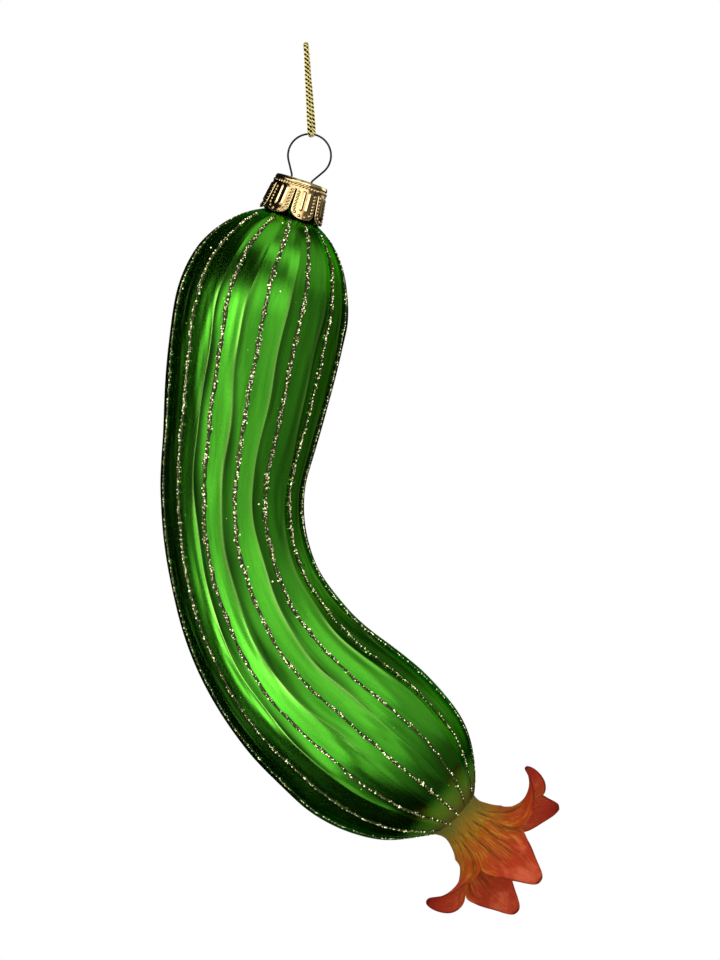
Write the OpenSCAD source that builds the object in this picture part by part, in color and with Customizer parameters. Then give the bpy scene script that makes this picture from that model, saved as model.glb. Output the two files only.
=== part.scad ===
// Hanging zucchini ornament: a blown glass body with piped glitter lines and a moulded blossom,
// held by a stamped cap, a sprung wire ring and a loop of cord.
// Millimetres, +Z up, +X to the right of the front view, +Y away from the viewer.
// The origin is the inside top of the cord loop, where a hook carries the ornament.

/* [Cord] */
// Thickness of the cord
cord_d = 1; // [0.8:0.1:1.2]
// Drop from the top of the cord loop to the middle of the ring's top wire
hang_drop = 17.4; // [16:0.1:17.4]
// Sideways place of the ring's top, to the right of the cord loop's top
hang_side = 0.7; // [0.4:0.1:1.2]

/* [Wire ring] */
// Thickness of the spring wire
wire_d = 0.4; // [0.3:0.05:0.5]
// Radius of the ring, to the middle of the wire
ring_r = 4.3; // [3.8:0.1:5]
// Height of the ring's centre above the cap
ring_rise = 5.3; // [4.8:0.1:6.2]
// Sideways place of the ring on the cap, to the left of the cap's middle
ring_shift = 0.25; // [0:0.05:0.5]
// Distance between the two legs, middle to middle
leg_gap = 4.2; // [3.6:0.1:4.8]
// Radius of the bend where a leg straightens above the cap
leg_bend_r = 0.8; // [0.6:0.1:1]
// Height above the cap at which the legs are straight
leg_stand = 0.3; // [0.2:0.05:0.6]
// Length of the straight legs below the top of the cap
leg_len = 11; // [8:0.5:14]

/* [Cap] */
// Thickness of the sheet metal
cap_sheet = 0.3; // [0.2:0.05:0.4]
// Height from the flat top to the ends of the tongues
cap_len = 7.6; // [6.6:0.1:7.6]
// Growth of the radius from the top to the ends of the tongues
cap_flare = 1.25; // [1.1:0.05:2]
// Turn of the cap on the neck, towards the left
cap_turn = 5; // [0:1:25]
// Number of tongues round the skirt
tongue_count = 7; // [5:1:9]
// Width of a slit at its upper end
slit_top_w = 0.35; // [0.2:0.05:0.6]
// Width of a slit at the ends of the tongues
slit_end_w = 0.7; // [0.5:0.05:1]
// Length of a slit
slit_len = 5.6; // [4:0.1:6.4]
// Corner radius at the ends of the tongues
tongue_round_r = 1.3; // [0.6:0.1:1.5]

/* [Glass] */
// Wall of the blown glass
glass_wall = 0.8; // [0.6:0.05:1]
// Outer diameter of the neck
neck_d = 9.4; // [8.4:0.1:10]
// Lean of the neck to the right
neck_tilt = 18.4; // [0:0.2:25]

/* [Body shape] */
// Length of the body along its bent middle line, end to end
body_len = 141.4; // [130:0.2:160]
// Length of the domed crown
crown_len = 21.5; // [18:0.5:26]
// Radius of the body at the crown
crown_r = 17.4; // [15:0.1:19]
// Place of the waist along the middle line
waist_at = 64.5; // [54:0.5:74]
// Radius of the body at the waist
waist_r = 14.2; // [12:0.1:16]
// Radius of the body at the belly
belly_r = 17.8; // [15:0.1:20]
// Length of the domed tail
tail_len = 27.5; // [20:0.5:32]
// Sharpness of the tail's dome: 0.5 is an ellipse, more is narrower
tail_sharp = 0.54; // [0.5:0.02:0.7]

/* [Bends] */
// Straight run at the crown
crown_run = 12; // [6:0.5:16]
// Radius of the slight bend below the crown
upper_bend_r = 88; // [60:1:120]
// Angle of the slight bend below the crown
upper_bend = 8.8; // [4:0.2:14]
// Straight run above the elbow
upper_run = 24.5; // [16:0.5:32]
// Radius of the elbow
elbow_r = 54.5; // [44:0.5:70]
// Angle of the elbow
elbow_bend = 59.8; // [30:0.2:64]

/* [Ribs and glitter] */
// Number of ribs, and of the glitter lines between them
rib_count = 14; // [10:1:16]
// Depth of the grooves between the ribs
rib_depth = 0.6; // [0.3:0.05:0.9]
// Turn of the first groove from the front towards the right
rib_turn = 3; // [-12:1:12]
// Width of a glitter line
glitter_w = 1; // [0.7:0.05:1.3]
// Height of a glitter line above the bottom of its groove
glitter_h = 0.45; // [0.3:0.05:0.7]

/* [Blossom] */
// Wall of the moulded blossom
bloom_wall = 0.7; // [0.5:0.05:0.9]
// Radius of the blossom where it is glued to the tail
bloom_base_r = 5; // [4.4:0.1:5.4]
// Length of the blossom's throat
throat_len = 4.8; // [4.2:0.1:6]
// Radius of the throat where the petals part
mouth_r = 7; // [6.4:0.1:7.6]
// Width of a petal at its blunt tip
petal_tip_w = 3.6; // [2:0.1:4]
// Fullness of a petal's sides, each side
petal_belly = 2.3; // [1:0.1:2.6]
// Depth of the channel into which a petal folds when it is curled right back
petal_cup = 3.6; // [2:0.1:5]
// Turn of the front petal towards the upper side
bloom_turn = 4; // [-10:1:10]
// Length of the front petal
front_len = 16.2; // [12:0.2:18]
// Heading of the front petal's tip, away from straight ahead
front_curl = 6; // [0:1:25]
// Length of the upper petal
upper_len = 13.2; // [12:0.2:18]
// Heading of the upper petal's tip
upper_curl = 153; // [120:1:170]
// Length of the far upper petal
far_upper_len = 13.6; // [11:0.2:18]
// Heading of the far upper petal's tip
far_upper_curl = 49; // [44:1:80]
// Twist of the far upper petal about its own length
far_upper_twist = -32; // [-60:1:0]
// Length of the far petal
far_len = 13; // [11:0.2:18]
// Heading of the far petal's tip
far_curl = 75; // [60:1:90]
// Length of the far lower petal
far_lower_len = 16.2; // [12:0.2:18]
// Heading of the far lower petal's root
far_lower_root = 2; // [1:1:4]
// Heading of the far lower petal's tip
far_lower_curl = 6; // [5:1:20]
// Twist of the far lower petal about its own length
far_lower_twist = 62; // [0:1:75]
// Length of the lower petal
lower_len = 14.4; // [12:0.2:18]
// Heading of the lower petal's tip
lower_curl = 136; // [116:1:170]
// Twist of the lower petal about its own length
lower_twist = 16; // [-30:1:40]
// Thickness of the glue between the tail and the blossom
glue_len = 1.6; // [1:0.1:2.5]

/* [Fits] */
// Clearance between the neck and the cap round it
cap_fit = 0.25; // [0.2:0.05:0.4]
// Height of the tongues' ends above the glass crown
tongue_gap = 0.3; // [0.2:0.05:0.6]
// Clearance between the wire and its holes in the cap
hole_fit = 0.15; // [0.1:0.05:0.25]
// Clearance between the wire's feet and the bore of the neck
foot_fit = 0.25; // [0.15:0.05:0.4]
// Gap between faces that sit on each other
seat_gap = 0.06; // [0.03:0.01:0.1]

/* [Hidden] */
$fn = 64;
front = [0, -1, 0];
// The loop of cord: under the ring's top wire, up the near strand, over the top, down the far strand
cord_route = [
    [1.1, 0, -18.3], [1, -1, -17.9], [0.85, -1.7, -17.2], [0.75, -2, -16.2],
    [0.65, -2, -14], [0.55, -2, -11.5], [0.45, -2, -9], [0.3, -2, -6.5], [0.2, -2, -4], [0.1, -2, -1.5],
    [0.05, -1.7, -0.5], [0, -1, 0.2], [0, 0, 0.5], [0, 1, 0.2], [0.1, 1.7, -0.5],
    [0.2, 2, -1.5], [0.4, 2, -4], [0.6, 2, -6.5], [0.85, 2, -9], [1.05, 2, -11.5], [1.25, 2, -14],
    [1.4, 2, -16.2], [1.35, 1.7, -17.2], [1.25, 1, -17.9]
];
cord_sides = 8;

// Places along the neck's axis, from the hanging point down
neck_up = [sin(neck_tilt), 0, cos(neck_tilt)];
neck_right = [cos(neck_tilt), 0, -sin(neck_tilt)];
ring_centre = [hang_side, 0, -hang_drop - ring_r];
neck_r = neck_d / 2;
bore_r = neck_r - glass_wall;
cap_top_r = neck_r + cap_fit + cap_sheet;
cap_end_r = cap_top_r + cap_flare;
corner_steps = 6;
corner_dip = cap_sheet / 2;
cap_slope = cap_sheet * norm([cap_flare, cap_len]) / cap_len;
tongue_sink = crown_len * (1 - sqrt(1 - pow((cap_end_r - cap_slope) / crown_r, 2)));
crown_drop = cap_len + tongue_gap - tongue_sink;
cap_top = ring_centre - ring_rise * neck_up + ring_shift * neck_right;
crown_pole = cap_top - crown_drop * neck_up;

// The wire ring: each leg leaves the ring along a tangent and straightens in a small bend
leg_x = leg_gap / 2;
leg_bend_x = leg_x + leg_bend_r;
leg_reach = norm([leg_bend_x, ring_rise - leg_stand]);
leg_lean = atan2(ring_rise - leg_stand, leg_bend_x) - acos((ring_r + leg_bend_r) / leg_reach);
foot_r = bore_r - foot_fit - leg_x - ring_shift;
ring_steps = 14;
bend_steps = 4;
foot_steps = 6;
wire_half = concat(
    arc_points(0, ring_rise, ring_r, 90, -leg_lean, ring_steps),
    arc_points(leg_bend_x, leg_stand, leg_bend_r, 180 - leg_lean, 180, bend_steps),
    arc_points(leg_x + foot_r, -leg_len, foot_r, 180, 270, foot_steps)
);
wire_path = concat(
    [for (i = [len(wire_half) - 1 : -1 : 1]) [-wire_half[i][0], 0, wire_half[i][2]]],
    wire_half
);
wire_sides = 10;

// Headings of the middle line, from straight down towards the right
head_neck = -neck_tilt;
head_upper = head_neck + upper_bend;
head_tail = head_upper + elbow_bend;
upper_bend_len = upper_bend_r * upper_bend * PI / 180;
elbow_len = elbow_r * elbow_bend * PI / 180;
upper_at = crown_run + upper_bend_len;
elbow_at = upper_at + upper_run;
belly_at = body_len - tail_len;

// The neck's root: its tube ends inside the wall of the crown, round the hole in the crown
hole_r = (neck_r + bore_r) / 2;
hole_turn_out = asin(hole_r / crown_r);
hole_turn_in = asin(hole_r / (crown_r - glass_wall));
hole_out = crown_len * (1 - cos(hole_turn_out));
hole_in = crown_len - (crown_len - glass_wall) * cos(hole_turn_in);
neck_root = (hole_out + hole_in) / 2;

// Rings of the skin: steps along the crown, between the domes and along the tail
crown_steps = 7;
middle_steps = 20;
tail_steps = 7;
tail_turn_end = 84;
rib_pitch = 360 / rib_count;
line_half = glitter_w / 2 / belly_r * 180 / PI;
crest_share = 1 / 3;
crest_half = crest_share * rib_pitch / 2;
rib_offsets = [0, line_half, rib_pitch / 2 - crest_half, rib_pitch / 2 + crest_half, rib_pitch - line_half];

// The blossom: its petals from the front one round by the upper side
mouth_lean = throat_lean(throat_len);
petal_lens = [front_len, upper_len, far_upper_len, far_len, far_lower_len, lower_len];
petal_curls = [front_curl, upper_curl, far_upper_curl, far_curl, far_lower_curl, lower_curl];
petal_roots = [mouth_lean, mouth_lean, mouth_lean, mouth_lean, far_lower_root, mouth_lean];
petal_twists = [0, 0, far_upper_twist, 0, far_lower_twist, lower_twist];
petal_count = len(petal_lens);
petal_pitch = 360 / petal_count;
petal_cols = 6;
petal_rows = 8;
throat_rows = 4;
twist_share = 0.6;
fullness_share = 0.45;
petal_sag = mouth_r * (1 - cos(petal_pitch / 2));
petal_root_half = mouth_r * sin(petal_pitch / 2);
bloom_bore_r = bloom_base_r - bloom_wall;
bloom_at = belly_at + tail_len * sqrt(1 - pow(bloom_bore_r / belly_r, 1 / tail_sharp)) + seat_gap;
glue_at = body_len - bloom_at + seat_gap;

// Name of a glitter line
function line_name(k) = str("glitter_line_", k);

// A number kept between two limits
function within(x, low, high) = min(max(x, low), high);

// A smooth step from 0 to 1
function ease(t) = (1 - cos(180 * within(t, 0, 1))) / 2;

// Heading of the middle line at a distance along it
function heading(s) = head_neck
    + upper_bend * within((s - crown_run) / upper_bend_len, 0, 1)
    + elbow_bend * within((s - elbow_at) / elbow_len, 0, 1);

// Unit step along a heading, and the step over an arc between two headings
function lead(h) = [sin(h), 0, -cos(h)];
function arc_step(r, h0, h1) = r * [cos(h0) - cos(h1), 0, sin(h0) - sin(h1)];

// Point on the middle line: straight run, slight bend, straight run, elbow and straight tail
function centre(s) = crown_pole
    + min(s, crown_run) * lead(head_neck)
    + arc_step(upper_bend_r, head_neck, min(heading(s), head_upper))
    + within(s - upper_at, 0, upper_run) * lead(head_upper)
    + arc_step(elbow_r, head_upper, max(heading(s), head_upper))
    + max(s - elbow_at - elbow_len, 0) * lead(head_tail);

// Direction out of the middle line, turned from the front towards the right
function outward(h, turn) = sin(turn) * [cos(h), 0, sin(h)] + cos(turn) * front;

// Radius of the body between its domed ends: crown, waist and belly
function swell(s) = s < waist_at
    ? crown_r + (waist_r - crown_r) * ease((s - crown_len) / (waist_at - crown_len))
    : waist_r + (belly_r - waist_r) * ease((s - waist_at) / (belly_at - waist_at));

// Share of a dome's length that a place lies beyond its widest ring
function dome_share(s, inset) = s < crown_len
    ? (crown_len - s) / (crown_len - inset)
    : max(s - belly_at, 0) / (tail_len - inset);

// Radius of the skin at a place, set in by a wall
function girth(s, inset) =
    (swell(s) - inset) * pow(1 - pow(dome_share(s, inset), 2), s < crown_len ? 0.5 : tail_sharp);

// Depth of the groove at an angle from its middle
function groove(s, turn) =
    rib_depth * girth(s, 0) / belly_r * pow(1 - min(turn, rib_pitch - turn) / (rib_pitch / 2), 2);

// Places of the skin's rings, from the hole at the neck to the tail
function stations(inset, turn_from) = concat(
    [for (i = [0 : crown_steps - 1]) let (t = turn_from + (90 - turn_from) * i / crown_steps)
        crown_len - (crown_len - inset) * cos(t)],
    [for (i = [0 : middle_steps - 1]) crown_len + (belly_at - crown_len) * i / middle_steps],
    [for (i = [0 : tail_steps]) belly_at + (tail_len - inset) * sin(tail_turn_end * i / tail_steps)]
);

// Point of the outer skin on a groove's left or right, and of the inner skin
function rib_point(s, line, turn, lift) =
    centre(s) + (girth(s, 0) - groove(s, abs(turn)) + lift)
    * outward(heading(s), rib_turn + line * rib_pitch + turn);
function inner_point(s, line) =
    centre(s) + girth(s, glass_wall) * outward(heading(s), rib_turn + (line + 0.5) * rib_pitch);

// Triangles between n rings of m points, clockwise from outside, with the first point's number
function skin(n, m, first = 0) = [
    for (i = [0 : n - 2], j = [0 : m - 1])
        let (a = first + i * m + j, b = first + i * m + (j + 1) % m)
        each [[a, b, b + m], [a, b + m, a + m]]
];
function fan(ring, m, pole) = [for (j = [0 : m - 1]) [ring + j, ring + (j + 1) % m, pole]];
function end_faces(n, m) = [[for (j = [m - 1 : -1 : 0]) j], [for (j = [0 : m - 1]) (n - 1) * m + j]];
function turned(faces) = [for (f = faces) [f[0], f[2], f[1]]];

// Flare of the blossom's throat: radius and lean of its wall at a height
function throat_r(a) = bloom_base_r + (mouth_r - bloom_base_r) * pow(a / throat_len, 2);
function throat_lean(a) = atan(2 * (mouth_r - bloom_base_r) * a / pow(throat_len, 2));

// Point of the blossom: height along its axis, radius, turn, and a sideways step square to the turn
function bloom_point(a, r, turn, aside = 0) = centre(bloom_at) + a * lead(head_tail)
    + r * outward(head_tail, bloom_turn + turn) + aside * outward(head_tail, bloom_turn + turn + 90);
function throat_point(a, turn, depth) =
    bloom_point(a + depth * sin(throat_lean(a)), throat_r(a) - depth * cos(throat_lean(a)), turn);

// Middle of a petal: an arc from the heading of its root to the heading of its tip
function petal_lean(k, t) = petal_roots[k] + (petal_curls[k] - petal_roots[k]) * t;
function petal_arc_r(k) = petal_lens[k] / (petal_curls[k] - petal_roots[k]) * 180 / PI;

// Half width of a petal, and the depth of its edges ahead of its middle
function petal_half(t) =
    petal_root_half * (1 - t) + petal_tip_w / 2 * t
    + petal_belly * pow(sin(180 * t), 2) * ease(t / fullness_share);
function petal_dish(k, t) =
    petal_sag * (1 - t) + petal_cup * max(petal_curls[k] - mouth_lean, 0) / 180 * sin(180 * t);

// Point of a petal: share of its length, share of its half width, and depth in its wall
function petal_point(k, t, u, wall) =
    let (
        lean = petal_lean(k, t),
        twist = petal_twists[k] * ease(t / twist_share),
        edge = petal_half(t) * u,
        fold = petal_dish(k, t) * u * u + wall,
        depth = fold * cos(twist) - edge * sin(twist)
    )
    bloom_point(
        throat_len + petal_arc_r(k) * (sin(lean) - sin(petal_roots[k])) + depth * sin(lean),
        mouth_r + petal_arc_r(k) * (cos(petal_roots[k]) - cos(lean)) - depth * cos(lean),
        k * petal_pitch, edge * cos(twist) + fold * sin(twist)
    );

// One face of the blossom's sheet: the throat's rings, then each petal's rows
function bloom_sheet(wall) = concat(
    [for (i = [0 : throat_rows], j = [0 : petal_count * petal_cols - 1])
        throat_point(throat_len * i / throat_rows, (j / petal_cols - 0.5) * petal_pitch, wall)],
    [for (k = [0 : petal_count - 1], i = [1 : petal_rows], j = [0 : petal_cols])
        petal_point(k, i / petal_rows, 2 * j / petal_cols - 1, wall)]
);
// Number of a petal's point in the sheet; its first row is the throat's last ring
function petal_index(k, i, j) = let (m = petal_count * petal_cols) i == 0
    ? throat_rows * m + (k * petal_cols + j) % m
    : (throat_rows + 1) * m + (k * petal_rows + i - 1) * (petal_cols + 1) + j;
function strip(a, b, c, d) = [[a, b, c], [a, c, d]];
function petal_faces() = [
    for (k = [0 : petal_count - 1], i = [0 : petal_rows - 1], j = [0 : petal_cols - 1])
        each strip(petal_index(k, i, j), petal_index(k, i, j + 1),
            petal_index(k, i + 1, j + 1), petal_index(k, i + 1, j))
];

// Points along an arc in the ring's plane
function arc_points(x, z, r, from, to, steps) = [
    for (i = [0 : steps]) let (a = from + (to - from) * i / steps) [x + r * cos(a), 0, z + r * sin(a)]
];

// Direction of a swept path at one of its points, and the ring of points square to it
function path_way(path, i, closed) = let (
        n = len(path),
        back = closed ? (i + n - 1) % n : max(i - 1, 0),
        ahead = closed ? (i + 1) % n : min(i + 1, n - 1),
        d = path[ahead] - path[back]
    ) d / norm(d);
function sweep_ring(path, i, closed, ref, d, sides) = let (
        way = path_way(path, i, closed),
        x = ref - (ref * way) * way,
        e = x / norm(x),
        f = cross(e, way)
    ) [for (j = [0 : sides - 1]) path[i] + d / 2 * (cos(360 * j / sides) * e + sin(360 * j / sides) * f)];

// Children stand on the neck's axis, with the flat top of the cap at height 0
module on_neck() {
    translate(cap_top) rotate([0, neck_tilt, 0]) children();
}

module hanger_wire() {
    n = len(wire_path);
    m = wire_sides;
    color("dimgray") on_neck() translate([-ring_shift, 0, 0]) polyhedron(
        points = [for (i = [0 : n - 1]) each sweep_ring(wire_path, i, false, [0, 1, 0], wire_d, m)],
        faces = concat(skin(n, m), end_faces(n, m))
    );
}

// The outline of a slit, open at the ends of the tongues, with the tongues' round corners
module slit_outline() {
    corner_x = slit_end_w / 2 + tongue_round_r;
    right = concat(
        [[slit_top_w / 2, slit_len]],
        [for (i = [0 : corner_steps]) let (a = 180 + 90 * i / corner_steps)
            [corner_x + tongue_round_r * cos(a), tongue_round_r * (1 + sin(a)) - corner_dip]],
        [[corner_x, -cap_sheet]]
    );
    polygon(concat(right, [for (i = [len(right) - 1 : -1 : 0]) [-right[i][0], right[i][1]]]));
}

module cap() {
    color("goldenrod") on_neck() difference() {
        rotate_extrude() polygon([
            [0, 0], [cap_top_r, 0], [cap_end_r, -cap_len], [cap_end_r - cap_slope, -cap_len],
            [cap_top_r - cap_slope + cap_flare * cap_sheet / cap_len, -cap_sheet], [0, -cap_sheet]
        ]);
        for (k = [0 : tongue_count - 1])
            rotate([0, 0, -90 - cap_turn + k * 360 / tongue_count])
            translate([neck_r - glass_wall, 0, -cap_len])
            rotate([90, 0, 90])
            linear_extrude(cap_end_r)
            slit_outline();
        for (side = [-1, 1])
            translate([side * leg_x - ring_shift, 0, -2 * cap_sheet])
            cylinder(d = wire_d + 2 * hole_fit, h = 3 * cap_sheet);
    }
}

// The blown vessel: outer skin with its grooves, inner skin, and the hole between them at the neck
module vessel() {
    outer = stations(0, hole_turn_out);
    inner = stations(glass_wall, hole_turn_in);
    m = rib_count * len(rib_offsets);
    first_in = len(outer) * m;
    outer_pole = first_in + len(inner) * rib_count;
    inner_pole = outer_pole + 1;
    step = len(rib_offsets);
    polyhedron(
        points = concat(
            [for (s = outer, k = [0 : rib_count - 1], turn = rib_offsets) rib_point(s, k, turn, 0)],
            [for (s = inner, k = [0 : rib_count - 1]) inner_point(s, k)],
            [centre(body_len), centre(body_len - glass_wall)]
        ),
        faces = concat(
            skin(len(outer), m),
            fan(first_in - m, m, outer_pole),
            turned(skin(len(inner), rib_count, first_in)),
            turned(fan(outer_pole - rib_count, rib_count, inner_pole)),
            [for (k = [0 : rib_count - 1], j = [0 : step - 1])
                [(k * step + j + 1) % m, k * step + j, first_in + k]],
            [for (k = [0 : rib_count - 1])
                [(k + 1) * step % m, first_in + k, first_in + (k + 1) % rib_count]]
        )
    );
}

module glass_body() {
    rim = cap_sheet + seat_gap;
    neck_len = crown_drop + neck_root - rim;
    color("forestgreen") union() {
        vessel();
        on_neck() translate([0, 0, -rim - neck_len]) difference() {
            cylinder(r = neck_r, h = neck_len);
            translate([0, 0, -glass_wall]) cylinder(r = bore_r, h = neck_len + 2 * glass_wall);
        }
    }
}

// A bead of glitter along one groove, from below the cap to the blossom
module glitter_line(k) {
    all_places = stations(0, hole_turn_out);
    places = [for (i = [1 : len(all_places) - 2]) all_places[i]];
    section = [[-line_half, seat_gap], [-line_half / 2, glitter_h], [line_half / 2, glitter_h],
        [line_half, seat_gap], [0, seat_gap]];
    m = len(section);
    n = len(places);
    color("palegoldenrod") polyhedron(
        points = [for (s = places, p = section) rib_point(s, k - 1, p[0], p[1])],
        faces = concat(skin(n, m), end_faces(n, m))
    );
}

// The moulded flower: one sheet with an outer and an inner face, closed along its edges
module blossom() {
    m = petal_count * petal_cols;
    first_in = m * (throat_rows + 1) + petal_count * petal_rows * (petal_cols + 1);
    face = concat(skin(throat_rows + 1, m), petal_faces());
    color("orangered") polyhedron(
        points = concat(bloom_sheet(0), bloom_sheet(bloom_wall)),
        faces = concat(
            face,
            [for (f = turned(face)) f + [first_in, first_in, first_in]],
            [for (j = [0 : m - 1])
                each strip((j + 1) % m, j, first_in + j, first_in + (j + 1) % m)],
            [for (k = [0 : petal_count - 1], i = [0 : petal_rows - 1])
                let (a = petal_index(k, i, 0), b = petal_index(k, i + 1, 0))
                each strip(a, b, first_in + b, first_in + a)],
            [for (k = [0 : petal_count - 1], i = [0 : petal_rows - 1])
                let (a = petal_index(k, i, petal_cols), b = petal_index(k, i + 1, petal_cols))
                each strip(b, a, first_in + a, first_in + b)],
            [for (k = [0 : petal_count - 1], j = [0 : petal_cols - 1])
                let (a = petal_index(k, petal_rows, j), b = petal_index(k, petal_rows, j + 1))
                each strip(a, b, first_in + b, first_in + a)]
        )
    );
}

module blossom_glue() {
    color("ivory")
        translate(centre(bloom_at))
        rotate([0, 180 - head_tail, 0])
        translate([0, 0, glue_at])
        cylinder(r = bloom_bore_r - seat_gap, h = glue_len);
}

module hanging_cord() {
    n = len(cord_route);
    m = cord_sides;
    color("gold") polyhedron(
        points = [for (i = [0 : n - 1]) each sweep_ring(cord_route, i, true, [1, 0, 0], cord_d, m)],
        faces = concat(
            skin(n, m),
            [for (j = [0 : m - 1])
                let (a = (n - 1) * m + j, b = (n - 1) * m + (j + 1) % m)
                each strip(a, b, (j + 1) % m, j)]
        )
    );
}

hanging_cord();
hanger_wire();
cap();
glass_body();
blossom();
blossom_glue();
for (k = [1 : rib_count])
    glitter_line(k);
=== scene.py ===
"""A hanging zucchini ornament, dressed for the camera.

A blown glass body in satin green lacquer with piped glitter lines, a moulded blossom, a stamped gold
cap, a sprung wire ring and a braided cord. Shapes are worked out in millimetres, in the frame of the
solids, and put into their meshes in metres.
"""
import logging
import math
from dataclasses import dataclass, field
from enum import Enum
from typing import Any, ClassVar

import bpy
import numpy as np
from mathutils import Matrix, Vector


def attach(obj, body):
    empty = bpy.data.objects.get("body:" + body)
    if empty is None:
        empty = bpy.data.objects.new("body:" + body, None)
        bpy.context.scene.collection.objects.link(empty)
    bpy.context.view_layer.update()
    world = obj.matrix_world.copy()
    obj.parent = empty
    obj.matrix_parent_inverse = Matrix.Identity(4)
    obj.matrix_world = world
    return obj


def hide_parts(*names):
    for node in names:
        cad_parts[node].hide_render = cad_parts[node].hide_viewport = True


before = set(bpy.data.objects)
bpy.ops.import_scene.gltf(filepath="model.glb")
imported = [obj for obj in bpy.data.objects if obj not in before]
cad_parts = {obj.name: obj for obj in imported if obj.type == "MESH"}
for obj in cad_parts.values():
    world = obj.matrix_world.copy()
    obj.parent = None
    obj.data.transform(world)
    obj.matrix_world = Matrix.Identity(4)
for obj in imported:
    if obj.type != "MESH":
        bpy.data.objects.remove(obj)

Array = np.ndarray
Piece = bpy.types.Object
Material = bpy.types.Material
Colour = tuple[float, float, float]
Span = tuple[float, float]
Row = tuple[float, ...]
Wave = tuple[float, float, float]
Waves = tuple[Wave, ...]
Input = Any
Inputs = dict[str | int, Input]

MM = 0.001
BLACK: Colour = (0.0, 0.0, 0.0)
WHITE: Colour = (1.0, 1.0, 1.0)
log = logging.getLogger("ornament")


class Body(Enum):
    """The moving bodies of the ornament."""

    CORD = "cord"
    WIRE = "wire"
    CAP = "cap"
    GLASS = "glass"


class Slot(Enum):
    """The finishes that a scene may repaint."""

    CORD = "gold_cord"
    STEEL = "spring_steel"
    CAP = "gold_cap"
    LACQUER = "green_lacquer"
    GLITTER = "gold_glitter"
    BLOSSOM = "blossom_lacquer"


def tint(red: int, green: int, blue: int) -> Colour:
    """A colour as it is seen on a screen, turned into linear light.

    Args:
        red: Red share, 0 to 255.
        green: Green share, 0 to 255.
        blue: Blue share, 0 to 255.

    Returns:
        The colour's linear shares, 0 to 1.
    """
    shares = (c / 255 for c in (red, green, blue))
    r, g, b = (c / 12.92 if c <= 0.04045 else ((c + 0.055) / 1.055) ** 2.4 for c in shares)
    return r, g, b


def unit(vectors: Array) -> Array:
    """Vectors along the last axis, each divided by its length."""
    return vectors / np.linalg.norm(vectors, axis=-1, keepdims=True)


def ease(share: Array) -> Array:
    """A smooth step: 0 below 0, 1 above 1, half a cosine wave between."""
    return (1 - np.cos(np.pi * np.clip(share, 0, 1))) / 2


def ramped(value: Array, low: float, high: float) -> Array:
    """A smooth step of a value: 0 up to the low limit, 1 from the high one on."""
    return ease((value - low) / (high - low))


def stacked(x: Array, y: Array, z: Array) -> Array:
    """Three arrays of coordinates, spread to one shape, as points along a new last axis."""
    return np.stack(np.broadcast_arrays(x, y, z), axis=-1)


def waves(along: Array, number: Array, *parts: Wave) -> Array:
    """A sum of sine waves, each with a height, a length and a phase that grows with a number."""
    return sum(high * np.sin(2 * np.pi * along / length + phase * number) for high, length, phase in parts)


def stretch(along: Array, start: float, rise: float, end: float, fall: float) -> Array:
    """A stretch of a line: 0 up to its start, rising to 1 there, and falling to 0 from its end."""
    return ease((along - start) / rise) * (1 - ease((along - end) / fall))


def bell(share: Array) -> Array:
    """A bell curve: 1 in its middle, falling off with the square of the share."""
    return np.exp(-(share**2))


def dome(share: Array) -> Array:
    """A quarter circle's height: 1 in the middle, 0 from a share of 1 outwards."""
    return np.sqrt(np.clip(1 - share**2, 0, 1))


def circle(count: int) -> Array:
    """Evenly spaced angles round a circle."""
    return np.linspace(0, 2 * np.pi, count, endpoint=False)


def spokes(angles: Array, first: Array, second: Array) -> Array:
    """Directions at some angles from a first side towards a second one, a ring of them at each point."""
    return np.cos(angles)[:, None] * first[..., None, :] + np.sin(angles)[:, None] * second[..., None, :]


# Node trees


class Value:
    """A socket that gives a value, with operators that add Math nodes."""

    def __init__(self, paint: "Paint", socket: bpy.types.NodeSocket) -> None:
        """Keep the node tree's builder and the socket."""
        self.paint = paint
        self.socket = socket

    def _math(self, operation: str, *inputs: Input) -> "Value":
        """A Math node on some values."""
        return self.paint.node("ShaderNodeMath", {"operation": operation}, dict(enumerate(inputs)))

    def __add__(self, other: Input) -> "Value":
        """This value plus another."""
        return self._math("ADD", self, other)

    __radd__ = __add__

    def __sub__(self, other: Input) -> "Value":
        """This value less another."""
        return self._math("SUBTRACT", self, other)

    def __rsub__(self, other: Input) -> "Value":
        """Another value less this one."""
        return self._math("SUBTRACT", other, self)

    def __mul__(self, other: Input) -> "Value":
        """This value times another."""
        return self._math("MULTIPLY", self, other)

    def __pow__(self, other: Input) -> "Value":
        """This value to a power."""
        return self._math("POWER", self, other)

    def over(self, low: float, high: float) -> "Value":
        """A smooth step of this value: 0 at the low limit, 1 at the high one."""
        limits = {"Value": self, "From Min": low, "From Max": high}
        return self.paint.node("ShaderNodeMapRange", {"interpolation_type": "SMOOTHSTEP"}, limits)

    def most(self, other: Input) -> "Value":
        """The greater of this value and another."""
        return self._math("MAXIMUM", self, other)

    def swing(self, amount: float) -> "Value":
        """This noise's swing about its middle, 0.5, times an amount."""
        return (self - 0.5) * amount


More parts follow.
